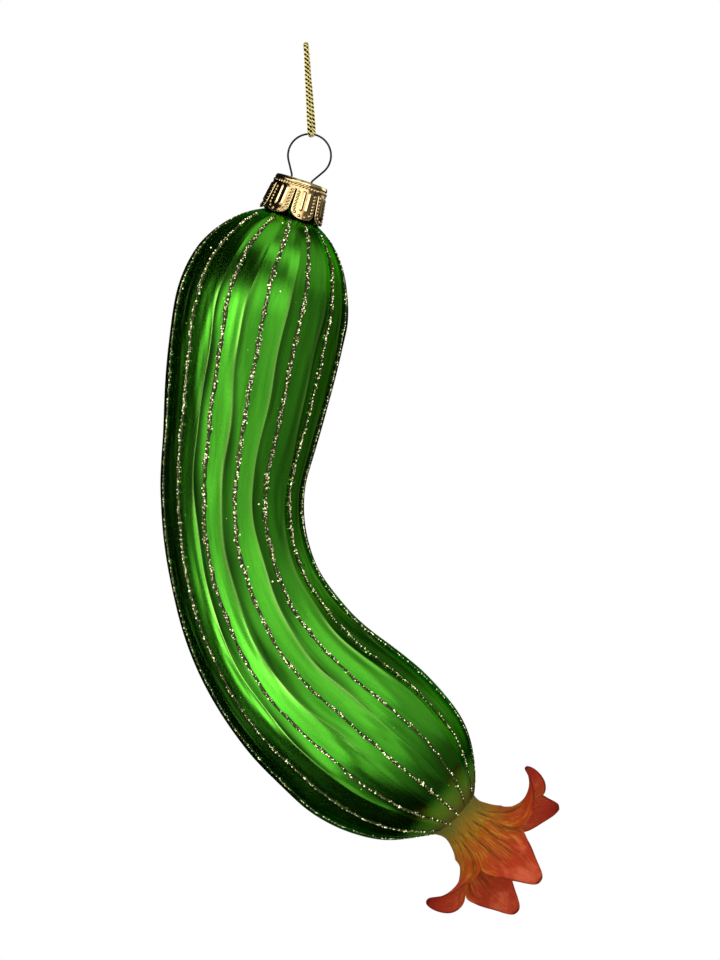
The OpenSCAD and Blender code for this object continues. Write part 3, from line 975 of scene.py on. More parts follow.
@dataclass
class HangingCord:
    """A loop of braided cord under the ring's top wire and up over the hook's place."""

    diameter: float = 1.0
    strands: int = 6
    strand_r: float = 0.155
    weave_r: float = 0.39
    weave_swing: float = 0.05
    weave_pitch: float = 2.5
    under_painted_light: float = 0.55
    over_painted_light: float = 0.45
    core_r: float = 0.34
    core_tone: float = 0.5
    bight_top: float = -17.2
    bight_run: float = 1.0
    bight_raise: float = 0.55
    bight_flat: float = 0.5
    bight_wide: float = 0.15
    route_steps: int = 40
    samples: int = 340
    sides: int = 8
    route: Array = field(default_factory=lambda: np.array([
        [1.1, 0, -18.3], [1, -1, -17.9], [0.85, -1.7, -17.2], [0.75, -2, -16.2], [0.65, -2, -14],
        [0.55, -2, -11.5], [0.45, -2, -9], [0.3, -2, -6.5], [0.2, -2, -4], [0.1, -2, -1.5],
        [0.05, -1.7, -0.5], [0, -1, 0.2], [0, 0, 0.5], [0, 1, 0.2], [0.1, 1.7, -0.5], [0.2, 2, -1.5],
        [0.4, 2, -4], [0.6, 2, -6.5], [0.85, 2, -9], [1.05, 2, -11.5], [1.25, 2, -14],
        [1.4, 2, -16.2], [1.35, 1.7, -17.2], [1.25, 1, -17.9],
    ]))

    def centreline(self) -> Array:
        """The route's points joined by a smooth closed curve through them, at even steps.

        Between two points the curve is a cubic with, at each point, half the step between its
        neighbours as its slope.

        Returns:
            Points round the loop.
        """
        here, after = self.route, np.roll(self.route, -1, axis=0)
        slope = (after - np.roll(self.route, 1, axis=0)) / 2
        t = np.linspace(0, 1, self.route_steps, endpoint=False)[None, :, None]
        fine = (
            (2 * t**3 - 3 * t**2 + 1) * here[:, None] + (t**3 - 2 * t**2 + t) * slope[:, None]
            + (3 * t**2 - 2 * t**3) * after[:, None] + (t**3 - t**2) * np.roll(slope, -1, axis=0)[:, None]
        ).reshape(-1, 3)
        far = travelled(fine, closed=True)
        steps = np.linspace(0, far[-1], self.samples, endpoint=False)
        ends = np.vstack([fine, fine[:1]])
        return np.stack([np.interp(steps, far, ends[:, i]) for i in range(3)], axis=-1)

    def build(self) -> Piece:
        """Each strand winds round a core, half of them each way, and swings out and in where it crosses the
        others; its section is a small ring square to its own way. Under the ring's wire the cord is pressed
        flat. The core and the strands carry painted light as "rise": 0 on the core, which is painted in
        shade, less on a strand's inner side and where it passes under, most on its top where it crosses
        over.

        Returns:
            The cord's piece.
        """
        line = self.centreline()
        length = float(travelled(line, closed=True)[-1])
        pressed = ease((self.bight_top - line[:, 2]) / self.bight_run)[:, None]
        line = line + self.bight_raise * pressed * [0.0, 0.0, 1.0]
        _, side, other = swept(line, True, np.array([1.0, 0.0, 0.0]))
        side = side * (1 + self.bight_wide * pressed)
        other = other * (1 - self.bight_flat * pressed)
        share = np.arange(self.samples) / self.samples
        phase = share * 2 * np.pi * round(length / self.weave_pitch)
        crossing = np.cos(self.strands * phase)
        angles = circle(self.sides)
        work = Sheetwork()

        def tube(middle: Array, sides: tuple[Array, Array], r: float, rise: Input, tone: float) -> None:
            """Add a closed tube about a closed line, with two directions square to it."""
            numbers = work.add(
                middle[:, None] + r * spokes(angles, *sides),
                along=(share * length)[:, None], rise=rise, tone=tone,
            )
            work.skin(np.vstack([numbers, numbers[:1]]), wrap=True)

        # The core carries no painted light: it is painted as the shade between the strands.
        tube(line, (side, other), self.core_r, 0.0, self.core_tone)
        for k in range(self.strands):
            hand = 1 if k % 2 else -1
            about = (hand * phase + 4 * np.pi * (k // 2) / self.strands)[:, None]
            reach = (self.weave_r + hand * self.weave_swing * crossing)[:, None]
            strand = line + reach * (np.cos(about) * side + np.sin(about) * other)
            over = 0.5 + 0.5 * hand * crossing[:, None]
            # Painted light: a painted highlight on the strand's outer side where it crosses over, painted
            # shade on its inner side and where it passes under.
            rise = (0.5 + 0.5 * np.cos(angles)) * (self.under_painted_light + self.over_painted_light * over)
            _, first, second = swept(strand, True, unit(strand - line))
            tube(strand, (first, second), self.strand_r, rise, k / self.strands)
        piece = settle(
            work.piece("braided_hanging_cord"), Body.CORD, BraidedGold().material(), "hanging_cord"
        )
        return piece


@dataclass
class HangerWire:
    """The sprung wire: a ring above the cap and two legs through the cap into the neck."""

    neck: Neck
    wire_r: float = 0.2
    leg_x: float = 2.1
    bend_r: float = 0.8
    stand: float = 0.3
    leg_len: float = 11.0
    foot_room: float = 3.65
    foot_clear: float = 0.3
    cut_shares: Row = (0.0, 0.7, 0.92)
    cut_backs: Row = (0.0, 0.02, 0.07)
    ring_steps: int = 90
    bend_steps: int = 14
    leg_steps: int = 24
    sides: int = 20

    @staticmethod
    def _arc(x: float, z: float, r: float, start: float, end: float, steps: int) -> Array:
        """Points along an arc in the ring's plane, from one angle to another."""
        angle = np.linspace(start, end, steps + 1)
        return np.stack([x + r * np.cos(angle), z + r * np.sin(angle)], axis=-1)

    def half(self) -> Array:
        """The right half of the wire: ring, tangent, small bend, straight leg and turned-out foot.

        Returns:
            Points right of and above the middle of the cap's top.
        """
        neck = self.neck
        bend_x = self.leg_x + self.bend_r
        rise = neck.ring_rise - self.stand
        lean = math.atan2(rise, bend_x) - math.acos((neck.ring_r + self.bend_r) / math.hypot(bend_x, rise))
        foot_r = self.foot_room - self.leg_x - neck.ring_shift
        drop = np.linspace(0.0, self.foot_clear - self.leg_len, self.leg_steps)
        return np.vstack([
            self._arc(0, neck.ring_rise, neck.ring_r, math.pi / 2, -lean, self.ring_steps),
            self._arc(bend_x, self.stand, self.bend_r, math.pi - lean, math.pi, self.bend_steps),
            np.stack([np.full_like(drop, self.leg_x), drop], axis=-1),
            self._arc(self.leg_x + foot_r, -self.leg_len, foot_r, math.pi, 1.5 * math.pi, self.bend_steps),
        ])

    def build(self) -> Piece:
        """Carry a circle along the wire, and round off its two cut ends with smaller circles.

        Returns:
            The wire's piece.
        """
        half = self.half()
        flat = np.vstack([half[:0:-1] * [-1, 1], half])
        path = self.neck.point(flat[:, 0] - self.neck.ring_shift, 0.0, flat[:, 1])
        way, first, second = swept(path, False, self.neck.away)
        angles = circle(self.sides)
        spread = spokes(angles, first, second)
        cut = np.array(self.cut_shares)[:, None, None] * self.wire_r
        out = (self.cut_backs[-1] - np.array(self.cut_backs))[:, None, None]
        start = path[0] - out * way[0] + cut * spread[0]
        end = path[-1] + out * way[-1] + cut * spread[-1]
        rings = np.concatenate([start, path[:, None] + self.wire_r * spread, end[::-1]])
        along = np.pad(travelled(path), len(cut), mode="edge")
        work = Sheetwork()
        work.skin(work.add(rings, along=along[:, None], round=np.abs(angles - np.pi)), wrap=True)
        return settle(
            work.piece("sprung_wire_ring"), Body.WIRE, SpringSteel().material(), "hanger_wire"
        )


@dataclass
class Cap:
    """The stamped cap: a flat top, a beaded band and seven tongues with beads and bars."""

    neck: Neck
    top_r: float = 5.25
    flare: float = 1.25
    turned: float = math.radians(5)
    length: float = 7.6
    sheet: float = 0.3
    tongues: int = 7
    slit_from: float = 2.0
    slit_top: float = 0.35
    slit_end: float = 0.7
    round_len: float = 1.7
    edge_r: float = 0.35
    corner: float = 2.3
    rim_h: float = 0.1
    rim_down: float = 0.85
    rim_fade: float = 0.2
    border_h: float = 0.07
    border_w: float = 0.13
    bead_r: float = 0.27
    bead_h: float = 0.17
    bead_inset: float = 0.5
    side_beads: Row = (2.55, 6.2, 0.66)
    end_beads: Row = (-58.0, -20.0, 20.0, 58.0)
    end_gauge: float = 5.6
    band_beads: int = 7
    band_down: float = 1.25
    band_gauge: float = 1.2
    bar_x: float = 0.62
    bar_r: float = 0.3
    bar_h: float = 0.1955
    bar_from: float = 2.3
    bar_to: float = 5.7
    lip_r: float = 0.47
    lip_half: float = 0.13
    lip_raise: float = 0.02
    lip_h: float = 0.1
    lip_steps: tuple[int, int] = (28, 10)
    lip_tone: float = 0.7
    inner_tone: float = 0.2
    pole_tone: float = 0.3
    top_rings: Row = (0.4, 1.2, 2.0, 2.8, 3.6, 4.2)
    bend_rows: int = 8
    band_rows: int = 26
    body_rows: int = 56
    tip_rows: int = 26
    tip_turn: float = 1.42
    inner_least: float = 0.3
    inner_share: float = 1.02
    plain_down: float = 0.02
    columns: int = 52

    def radius(self, down: Array) -> Array:
        """Outer radius, growing evenly from the top to the tongues' ends."""
        return self.top_r + self.flare * down / self.length

    def half_width(self, down: Array) -> Array:
        """Half a tongue's width: half its share of the circle less half a slit, rounded at the end.

        Args:
            down: Distance below the top.

        Returns:
            Half widths along the circle.
        """
        share = np.clip((down - self.slit_from) / (self.length - self.slit_from), 0, 1)
        slit = self.slit_top + (self.slit_end - self.slit_top) * share
        round_share = np.clip((down - self.length + self.round_len) / self.round_len, 0, 1)
        whole = np.pi * self.radius(down) / self.tongues - slit / 2
        return whole * (1 - round_share**self.corner) ** (1 / self.corner)

    def relief(self, aside: Array, down: Array) -> Array:
        """Height of the stamping at places on a tongue, the highest of beads, bars and borders.

        A bead is a dome of its distance from its centre; a bar is the same dome along a line. Beads
        run down both sides, round the end, and in a row across the band.

        Args:
            aside: Distance from the tongue's middle.
            down: Distance below the cap's top.

        Returns:
            Heights, 0 in the ground.
        """
        side_down = np.arange(*self.side_beads)
        side_x = self.half_width(side_down) - self.bead_inset
        end_turn = np.radians(self.end_beads)
        end_x = (self.half_width(np.array(self.end_gauge)) - self.bead_inset) * np.sin(end_turn)
        end_down = self.length - self.round_len + (self.round_len - self.bead_inset) * np.cos(end_turn)
        band_step = 2 * np.pi * self.radius(np.array(self.band_gauge)) / self.tongues / self.band_beads
        band_x = (np.arange(self.band_beads) - self.band_beads // 2) * band_step
        x = np.concatenate([side_x, -side_x, end_x, band_x])
        z = np.concatenate([side_down, side_down, end_down, np.full_like(band_x, self.band_down)])
        gap = np.hypot(aside[..., None] - x, down[..., None] - z) / self.bead_r
        beads = self.bead_h * dome(np.min(gap, axis=-1))
        past = down - np.clip(down, self.bar_from, self.bar_to)
        bars = self.bar_h * dome(np.hypot(np.abs(aside) - self.bar_x, past) / self.bar_r)
        border = self.half_width(down) - np.abs(aside)
        borders = self.border_h * bell(border / self.border_w) * (down > self.slit_from)
        rim = self.rim_h * ease((self.rim_down - down) / self.rim_fade)
        return np.maximum.reduce([beads, bars, borders, rim])

    def lip(self, work: Sheetwork, x: float) -> None:
        """Add the punched lip round a wire hole, a flattened ring with a round section.

        Args:
            work: The gathered grids.
            x: Place of the hole right of the cap's middle.
        """
        turn, section = (circle(steps) for steps in self.lip_steps)
        turn = turn[:, None]
        r = self.lip_r + self.lip_half * np.cos(section)
        rise = self.lip_raise + self.lip_h * np.sin(section)
        points = self.neck.point(x + r * np.cos(turn), r * np.sin(turn), rise)
        numbers = work.add(points, relief=self.lip_tone)
        work.skin(np.vstack([numbers, numbers[:1]]), wrap=True)

    def profile(self) -> tuple[Array, Array, int]:
        """Rows out over the top, round its edge, down the band and down the tongues.

        Returns:
            Each row's distance below the top and its radius, and the number of the tongues' first row.
        """
        top = np.array([*self.top_rings, self.top_r - self.edge_r])
        bend = np.linspace(0, np.pi / 2, self.bend_rows)[1:]
        band = np.linspace(self.edge_r, self.slit_from, self.band_rows)[1:]
        body = np.linspace(self.slit_from, self.length - self.round_len, self.body_rows)[1:]
        tip_turns = np.linspace(0, self.tip_turn, self.tip_rows)[1:]
        skirt = np.concatenate([band, body, self.length - self.round_len * (1 - np.sin(tip_turns))])
        down = np.concatenate([0 * top, self.edge_r * (1 - np.cos(bend)), skirt])
        edge = self.top_r - self.edge_r * (1 - np.sin(bend))
        radius = np.concatenate([top, edge, self.radius(skirt)])
        return down, radius, len(top) + len(bend) + len(band) - 1

    def build(self) -> Piece:
        """Make the cap's outer and inner faces on one grid and close its edges.

        Columns keep their share of a tongue's width from the top's middle to the tongues' ends.

        Returns:
            The cap's piece.
        """
        down, radius, first_tongue = self.profile()
        u = np.linspace(-1, 1, self.columns)
        width = self.half_width(np.maximum(down, self.slit_from))[:, None, None]
        aside = np.broadcast_to(width * u, (len(down), self.tongues, self.columns))
        wide = self.radius(np.maximum(down, self.slit_from))[:, None, None]
        share = (np.arange(self.tongues) + 0.5)[None, :, None] / self.tongues
        middle = 2 * np.pi * share - np.pi / 2 - self.turned
        turn = middle + aside / wide
        depth = np.broadcast_to(down[:, None, None], aside.shape)
        height = self.relief(aside, depth) * (depth > self.plain_down)
        out = radius[:, None, None] + height
        work = Sheetwork()
        shape = (len(down), self.tongues * self.columns)
        outer = work.add(
            self.neck.point(out * np.cos(turn), out * np.sin(turn), -depth).reshape(*shape, 3),
            relief=(height / self.bead_h).reshape(shape),
        )
        inset = self.sheet * self.inner_share * (down > 0)
        inner_r = np.maximum(radius - inset, self.inner_least)[:, None, None]
        inner_down = np.maximum(depth, self.sheet)
        inner = work.add(
            self.neck.point(inner_r * np.cos(turn), inner_r * np.sin(turn), -inner_down).reshape(*shape, 3),
            relief=self.inner_tone,
        )
        poles = work.add(self.neck.point(0.0, 0.0, np.array([0.0, -self.sheet])), relief=self.pole_tone)
        work.fan(outer[0], poles[0])
        work.fan(inner[0], poles[1], flip=True)
        work.skin(outer[: first_tongue + 1], wrap=True, flip=True)
        work.skin(inner[: first_tongue + 1], wrap=True)
        split = (len(down), self.tongues, self.columns)
        out_t = outer.reshape(split)[first_tongue:].transpose(1, 0, 2)
        in_t = inner.reshape(split)[first_tongue:].transpose(1, 0, 2)
        work.skin(out_t, flip=True)
        work.skin(in_t)
        work.hem(out_t, in_t)
        after = np.roll(np.arange(self.tongues), -1)
        slit = np.stack([
            np.stack([out_t[:, 0, -1], out_t[after, 0, 0]], axis=-1),
            np.stack([in_t[:, 0, -1], in_t[after, 0, 0]], axis=-1),
        ], axis=1)
        work.skin(slit, flip=True)
        for side in (-1, 1):
            self.lip(work, side * HangerWire.leg_x - self.neck.ring_shift)
        return settle(work.piece("stamped_cap"), Body.CAP, StampedGold().material(), "cap")


# The body and what is on it


@dataclass
class BodyForm:
    """The bent body: its middle line, its girth and its ribs."""

    neck: Neck
    crown_drop: float = 6.491
    body_len: float = 141.4
    crown_len: float = 21.5
    crown_r: float = 17.4
    waist_at: float = 64.5
    waist_r: float = 14.2
    belly_r: float = 17.8
    tail_len: float = 27.5
    tail_sharp: float = 0.54
    crown_run: float = 12.0
    upper_bend_r: float = 88.0
    upper_bend: float = math.radians(8.8)
    upper_run: float = 24.5
    elbow_r: float = 54.5
    elbow_bend: float = math.radians(59.8)
    rib_count: int = 14
    rib_turn: float = math.radians(3)
    crease: float = 0.72
    hollow: float = -0.34
    ridge_half: float = 0.38
    ridge_h: float = 0.025
    crest_at: float = 0.58
    crest_step: float = 0.12
    crest_turn: float = 1.7
    crest_wander: float = 0.1
    crest_waves: Waves = ((0.50, 61, 2.1), (0.34, 33, 4.3), (0.16, 17, 1.3))
    drift_waves: Waves = ((0.9, 57, 1.9), (0.5, 29, 0.6))
    waver_wave: Wave = (0.05, 23, 2.9)
    cross_waves: tuple[Row, ...] = ((0.04, 4.6, 2, 2.1), (0.018, 9.4, -3, 1.1))
    ridge_least: float = 0.25
    ridge_waves: Waves = ((1, 41, 2.2), (1, 17, 0.8))
    band_waves: Waves = ((1, 61, 1.7), (1, 37, 0.9))
    band_least: float = 2.0
    band_more: float = 3.2
    band_waist: Row = (42, 28, 88, 30)
    band_ends: Row = (9, 12, 104, 20)
    band_from: float = 0.12
    band_edge: float = 0.3
    band_side: float = 0.7
    band_far: float = 0.25
    width_swing: float = 0.3
    band_swing: float = 0.16
    line_swing: float = 0.3
    line_at: float = 0.16
    line_half: float = 0.36
    low_full: Row = (0.65, 118, 9)
    high_full: Row = (0.5, 129, 6)
    end_drawn: Row = (1.15, 138, 4.5)
    end_all: float = 0.2
    tuck_fade: float = 7.0

    def __post_init__(self) -> None:
        """Work out the places where the middle line changes."""
        self.pole = self.neck.cap_top - self.crown_drop * self.neck.up
        self.head_neck = -self.neck.tilt
        self.head_upper = self.head_neck + self.upper_bend
        self.head_tail = self.head_upper + self.elbow_bend
        self.upper_at = self.crown_run + self.upper_bend_r * self.upper_bend
        self.elbow_at = self.upper_at + self.upper_run
        self.elbow_len = self.elbow_r * self.elbow_bend
        self.belly_at = self.body_len - self.tail_len
        self.pitch = 2 * math.pi / self.rib_count

    def heading(self, s: Array) -> Array:
        """Angle of the middle line from straight down towards the right, growing along both bends.

        Args:
            s: Place along the middle line.

        Returns:
            Angles.
        """
        upper = np.clip((s - self.crown_run) / (self.upper_at - self.crown_run), 0, 1)
        elbow = np.clip((s - self.elbow_at) / self.elbow_len, 0, 1)
        return self.head_neck + self.upper_bend * upper + self.elbow_bend * elbow

    @staticmethod
    def lead(heading: Array) -> Array:
        """Unit step along a heading."""
        return stacked(np.sin(heading), 0.0, -np.cos(heading))

    @staticmethod
    def arc(start: Array, end: Array) -> Array:
        """Step along an arc of radius 1 between two headings."""
        return stacked(np.cos(start) - np.cos(end), 0.0, np.sin(start) - np.sin(end))

    def centre(self, s: Array) -> Array:
        """Points on the middle line: straight run, slight bend, straight run, elbow and straight tail.

        Args:
            s: Place along the middle line.

        Returns:
            Points.
        """
        s = np.asarray(s, float)
        h = self.heading(s)
        runs = (
            (np.minimum(s, self.crown_run), self.head_neck),
            (np.clip(s - self.upper_at, 0, self.upper_run), self.head_upper),
            (np.maximum(s - self.elbow_at - self.elbow_len, 0), self.head_tail),
        )
        straight = sum(run[..., None] * self.lead(head) for run, head in runs)
        upper = self.upper_bend_r * self.arc(self.head_neck, np.minimum(h, self.head_upper))
        elbow = self.elbow_r * self.arc(self.head_upper, np.maximum(h, self.head_upper))
        return self.pole + straight + upper + elbow

    @staticmethod
    def outward(heading: Array, turn: Array) -> Array:
        """Directions out of the middle line, turned from the front towards the right."""
        return stacked(np.sin(turn) * np.cos(heading), -np.cos(turn), np.sin(turn) * np.sin(heading))

    def girth(self, s: Array, inset: float = 0.0) -> Array:
        """Radius of the skin: crown, waist and belly joined by half waves, with domed ends.

        Args:
            s: Place along the middle line.
            inset: Depth below the outer skin.

        Returns:
            Radii, without the ribs.
        """
        narrowing = ease((s - self.crown_len) / (self.waist_at - self.crown_len))
        widening = ease((s - self.waist_at) / (self.belly_at - self.waist_at))
        upper = self.crown_r + (self.waist_r - self.crown_r) * narrowing
        lower = self.waist_r + (self.belly_r - self.waist_r) * widening
        crown = np.clip((self.crown_len - s) / (self.crown_len - inset), 0, 1)
        tail = np.clip((s - self.belly_at) / (self.tail_len - inset), 0, 1)
        ends = dome(crown) * (1 - tail**2) ** self.tail_sharp
        return (np.where(s < self.waist_at, upper, lower) - inset) * ends

    def crest(self, s: Array, rib: Array) -> Array:
        """Place of a rib's crease across the rib, 0 to 1, wandering along it as three waves."""
        wander = waves(s, rib, *self.crest_waves)
        return self.crest_at + self.crest_step * np.sin(self.crest_turn * rib) + self.crest_wander * wander

    @staticmethod
    def fall(across: Array, crest: Array) -> Array:
        """Share of the way from a rib's crease down to the groove on either side."""
        return np.where(across < crest, 1 - across / crest, (across - crest) / (1 - crest))

    def ribbed(self, s: Array, rib: Array, across: Array) -> Array:
        """Radius of the skin on a rib.

        From its crease a rib falls to the grooves on both sides, steep at first, by a straight share of
        the way less a square one. A fine ridge of changing height runs along the crease, and the skin
        wavers along and across the rib, as blown glass does.

        Args:
            s: Place along the middle line.
            rib: Number of the rib.
            across: Place across the rib, 0 at its left groove and 1 at its right one.

        Returns:
            Radii.
        """
        crest = self.crest(s, rib)
        fall = self.fall(across, crest)
        girth = self.girth(s)
        drift = waves(s, rib, *self.drift_waves)
        cross = (
            high * np.sin(count * np.pi * across + bend * drift + phase * rib)
            for high, count, bend, phase in self.cross_waves)
        waver = sum(cross, start=waves(s, rib, self.waver_wave)) * np.sin(np.pi * across)
        swell = 0.5 + 0.5 * math.prod(waves(s, rib, part) for part in self.ridge_waves)
        off = (across - crest) * self.pitch * girth / self.ridge_half
        ridge = self.ridge_h * (self.ridge_least + swell) * bell(off)
        return girth - (self.crease * fall + self.hollow * fall**2 - waver - ridge) * girth / self.belly_r

    def bands(self, s: Array, rib: Array, across: Array) -> tuple[Array, Array]:
        """Strengths of the painted highlight, a pale line on a crease, and of the painted shade, a dark band
        on its right.

        The line is a narrow bell curve. The band starts at the crease and fades out over a width that
        is greatest at the waist and changes from rib to rib; it is strongest on the front's left.

        Args:
            s: Place along the middle line.
            rib: Number of the rib.
            across: Place across the rib, 0 to 1.

        Returns:
            The line's and the band's strength, 0 to 1.
        """
        off = (across - self.crest(s, rib)) * self.pitch * self.girth(s)
        swing = math.prod(waves(s, rib, part) for part in self.band_waves)
        wide = self.band_least + self.band_more * stretch(s, *self.band_waist)
        width = wide * (1 + self.width_swing * swing)
        ends = stretch(s, *self.band_ends)
        line = bell((off + self.line_at) / self.line_half) * (1 + self.line_swing * (swing - 1)) * ends
        left = 0.5 + 0.5 * np.cos(self.turn(rib, across) + self.band_side)
        edges = ease((off + self.band_from) / self.band_edge) * (1 - ease(off / width))
        side = self.band_far + (1 - self.band_far) * left**2
        band = edges * (1 + self.band_swing * (swing - 1)) * ends * side
        return line, band

    def tuck(self, s: Array, turn: Array) -> Array:
        """Change of the radius towards the tail.

        Bell curves along the tail: the lower side is fuller at the belly and drawn in at the end, the
        upper side is fuller between them.

        Args:
            s: Place along the middle line.
            turn: Turn from the front towards the right.

        Returns:
            Changes of the radius.
        """
        low, high = np.clip(-np.sin(turn), 0, 1), np.clip(np.sin(turn), 0, 1)
        low_full, high_full, drawn = (
            amount * bell((s - at) / spread)
            for amount, at, spread in (self.low_full, self.high_full, self.end_drawn))
        all_round = self.end_all / self.end_drawn[0]
        return low * low_full + high * high_full - (all_round + low) * drawn

    def turn(self, rib: Array, across: Array) -> Array:
        """Turn of a place on a rib, from the front towards the right."""
        return self.rib_turn + (rib + across) * self.pitch

    def skin_point(self, s: Array, radius: Array, turn: Array) -> Array:
        """Points at a radius about the middle line, with the tail's tuck fading out at its pole."""
        radius = radius + self.tuck(s, turn) * np.clip(np.asarray(radius) / self.tuck_fade, 0, 1)
        return self.centre(s) + radius[..., None] * self.outward(self.heading(s), turn)


@dataclass
class GlassBody:
    """The blown body with its neck, inside and out."""

    form: BodyForm
    wall: float = 0.8
    neck_r: float = 4.7
    rim: float = 0.36
    rim_downs: Row = (0.25, 0.05, 0.0, 0.05, 0.3)
    rim_insets: Row = (0.0, 0.08, 0.4, 0.72, 0.8)
    bore_end: float = 0.9
    neck_shade_level: float = 0.6
    fillet_power: int = 9
    crowding: float = 1.6
    columns: int = 20
    crown_rows: int = 46
    middle_rows: int = 170
    tail_rows: int = 52
    inner_share: float = 0.12
    least_rows: int = 4
    crown_turn: float = 0.08
    tail_turn: float = 1.54

    def stations(self, count: float, inset: float = 0.0) -> Array:
        """Places of the rings, closer together on the domes.

        Args:
            count: Share of the full number of rings.
            inset: Depth below the outer skin.

        Returns:
            Places along the middle line.
        """
        form = self.form
        full = (self.crown_rows, self.middle_rows, self.tail_rows)
        crown, middle, tail = (max(int(rows * count), self.least_rows) for rows in full)
        crown_turns = np.linspace(self.crown_turn, np.pi / 2, crown)[:-1]
        tail_turns = np.linspace(0, self.tail_turn, tail)
        return np.concatenate([
            form.crown_len - (form.crown_len - inset) * np.cos(crown_turns),
            np.linspace(form.crown_len, form.belly_at, middle)[:-1],
            form.belly_at + (form.tail_len - inset) * np.sin(tail_turns),
        ])

    def build(self) -> Piece:
        """Make the skin from the tail up over the neck's rim and down inside to the tail.

        A rib's columns lie closer together towards its crease. On the crown the skin and the neck's
        tube are joined by a high power mean of their radii, which leaves a small fillet.

        Returns:
            The body's piece.
        """
        form = self.form
        rib = np.repeat(np.arange(form.rib_count), self.columns)[None, :]
        step = np.tile(np.arange(self.columns), form.rib_count)[None, :] * 2 / self.columns - 1
        side = np.sign(step) * np.abs(step) ** self.crowding
        s = self.stations(1.0)[:, None]
        crest = form.crest(s, rib)
        across = crest + side * np.where(side < 0, crest, 1 - crest)
        ribbed = form.ribbed(s, rib, across)
        power = self.fillet_power
        joined = (ribbed**power + self.neck_r**power) ** (1 / power)
        radius = np.where(s < form.crown_len, joined, ribbed)
        turn = form.turn(rib, across)
        work = Sheetwork()

        def rings(at: Array, r: Array, level: float) -> Array:
            """Add plain rings of the neck or the inside, and give back their numbers."""
            points = form.skin_point(at + 0 * turn[:1], r + 0 * turn[:1], 0 * at + turn[:1])
            return work.add(
                points, rib=rib + 0.5, along=np.maximum(at, 0), hollow=level, crest=0.0, beside=0.0)

        # The hollow gives painted shade in the grooves; the bands give a painted highlight on each crease
        # and painted shade beside it.
        line, band = form.bands(s, rib, across)
        skin = work.add(
            form.skin_point(s + 0 * rib, radius, turn),
            rib=rib + across, along=s, hollow=form.fall(across, crest), crest=line, beside=band,
        )
        rim_at = self.rim - form.crown_drop
        neck_at = np.array([*(rim_at + down for down in self.rim_downs), self.bore_end])[:, None]
        neck_r = self.neck_r - np.array([*self.rim_insets, self.wall])[:, None]
        # The neck's level of hollow is painted shade in the lacquer.
        neck = rings(neck_at, neck_r, self.neck_shade_level)
        inner_s = self.stations(self.inner_share, self.wall)
        inner_r = form.girth(inner_s, self.wall)
        inner = inner_r > self.neck_r - self.wall
        inside = rings(inner_s[inner, None], inner_r[inner, None], 1.0)
        tips = work.add(
            form.centre(np.array([form.body_len, form.body_len - self.wall])),
            rib=0.0, along=form.body_len, hollow=0.5, crest=0.0, beside=0.0,
        )
        work.skin(np.vstack([skin[::-1], neck, inside]), wrap=True, flip=True)
        work.fan(skin[-1], tips[0])
        work.fan(inside[-1], tips[1], flip=True)
        piece = work.piece("lacquered_glass_body")
        return settle(piece, Body.GLASS, GreenLacquer().material(), "glass_body")


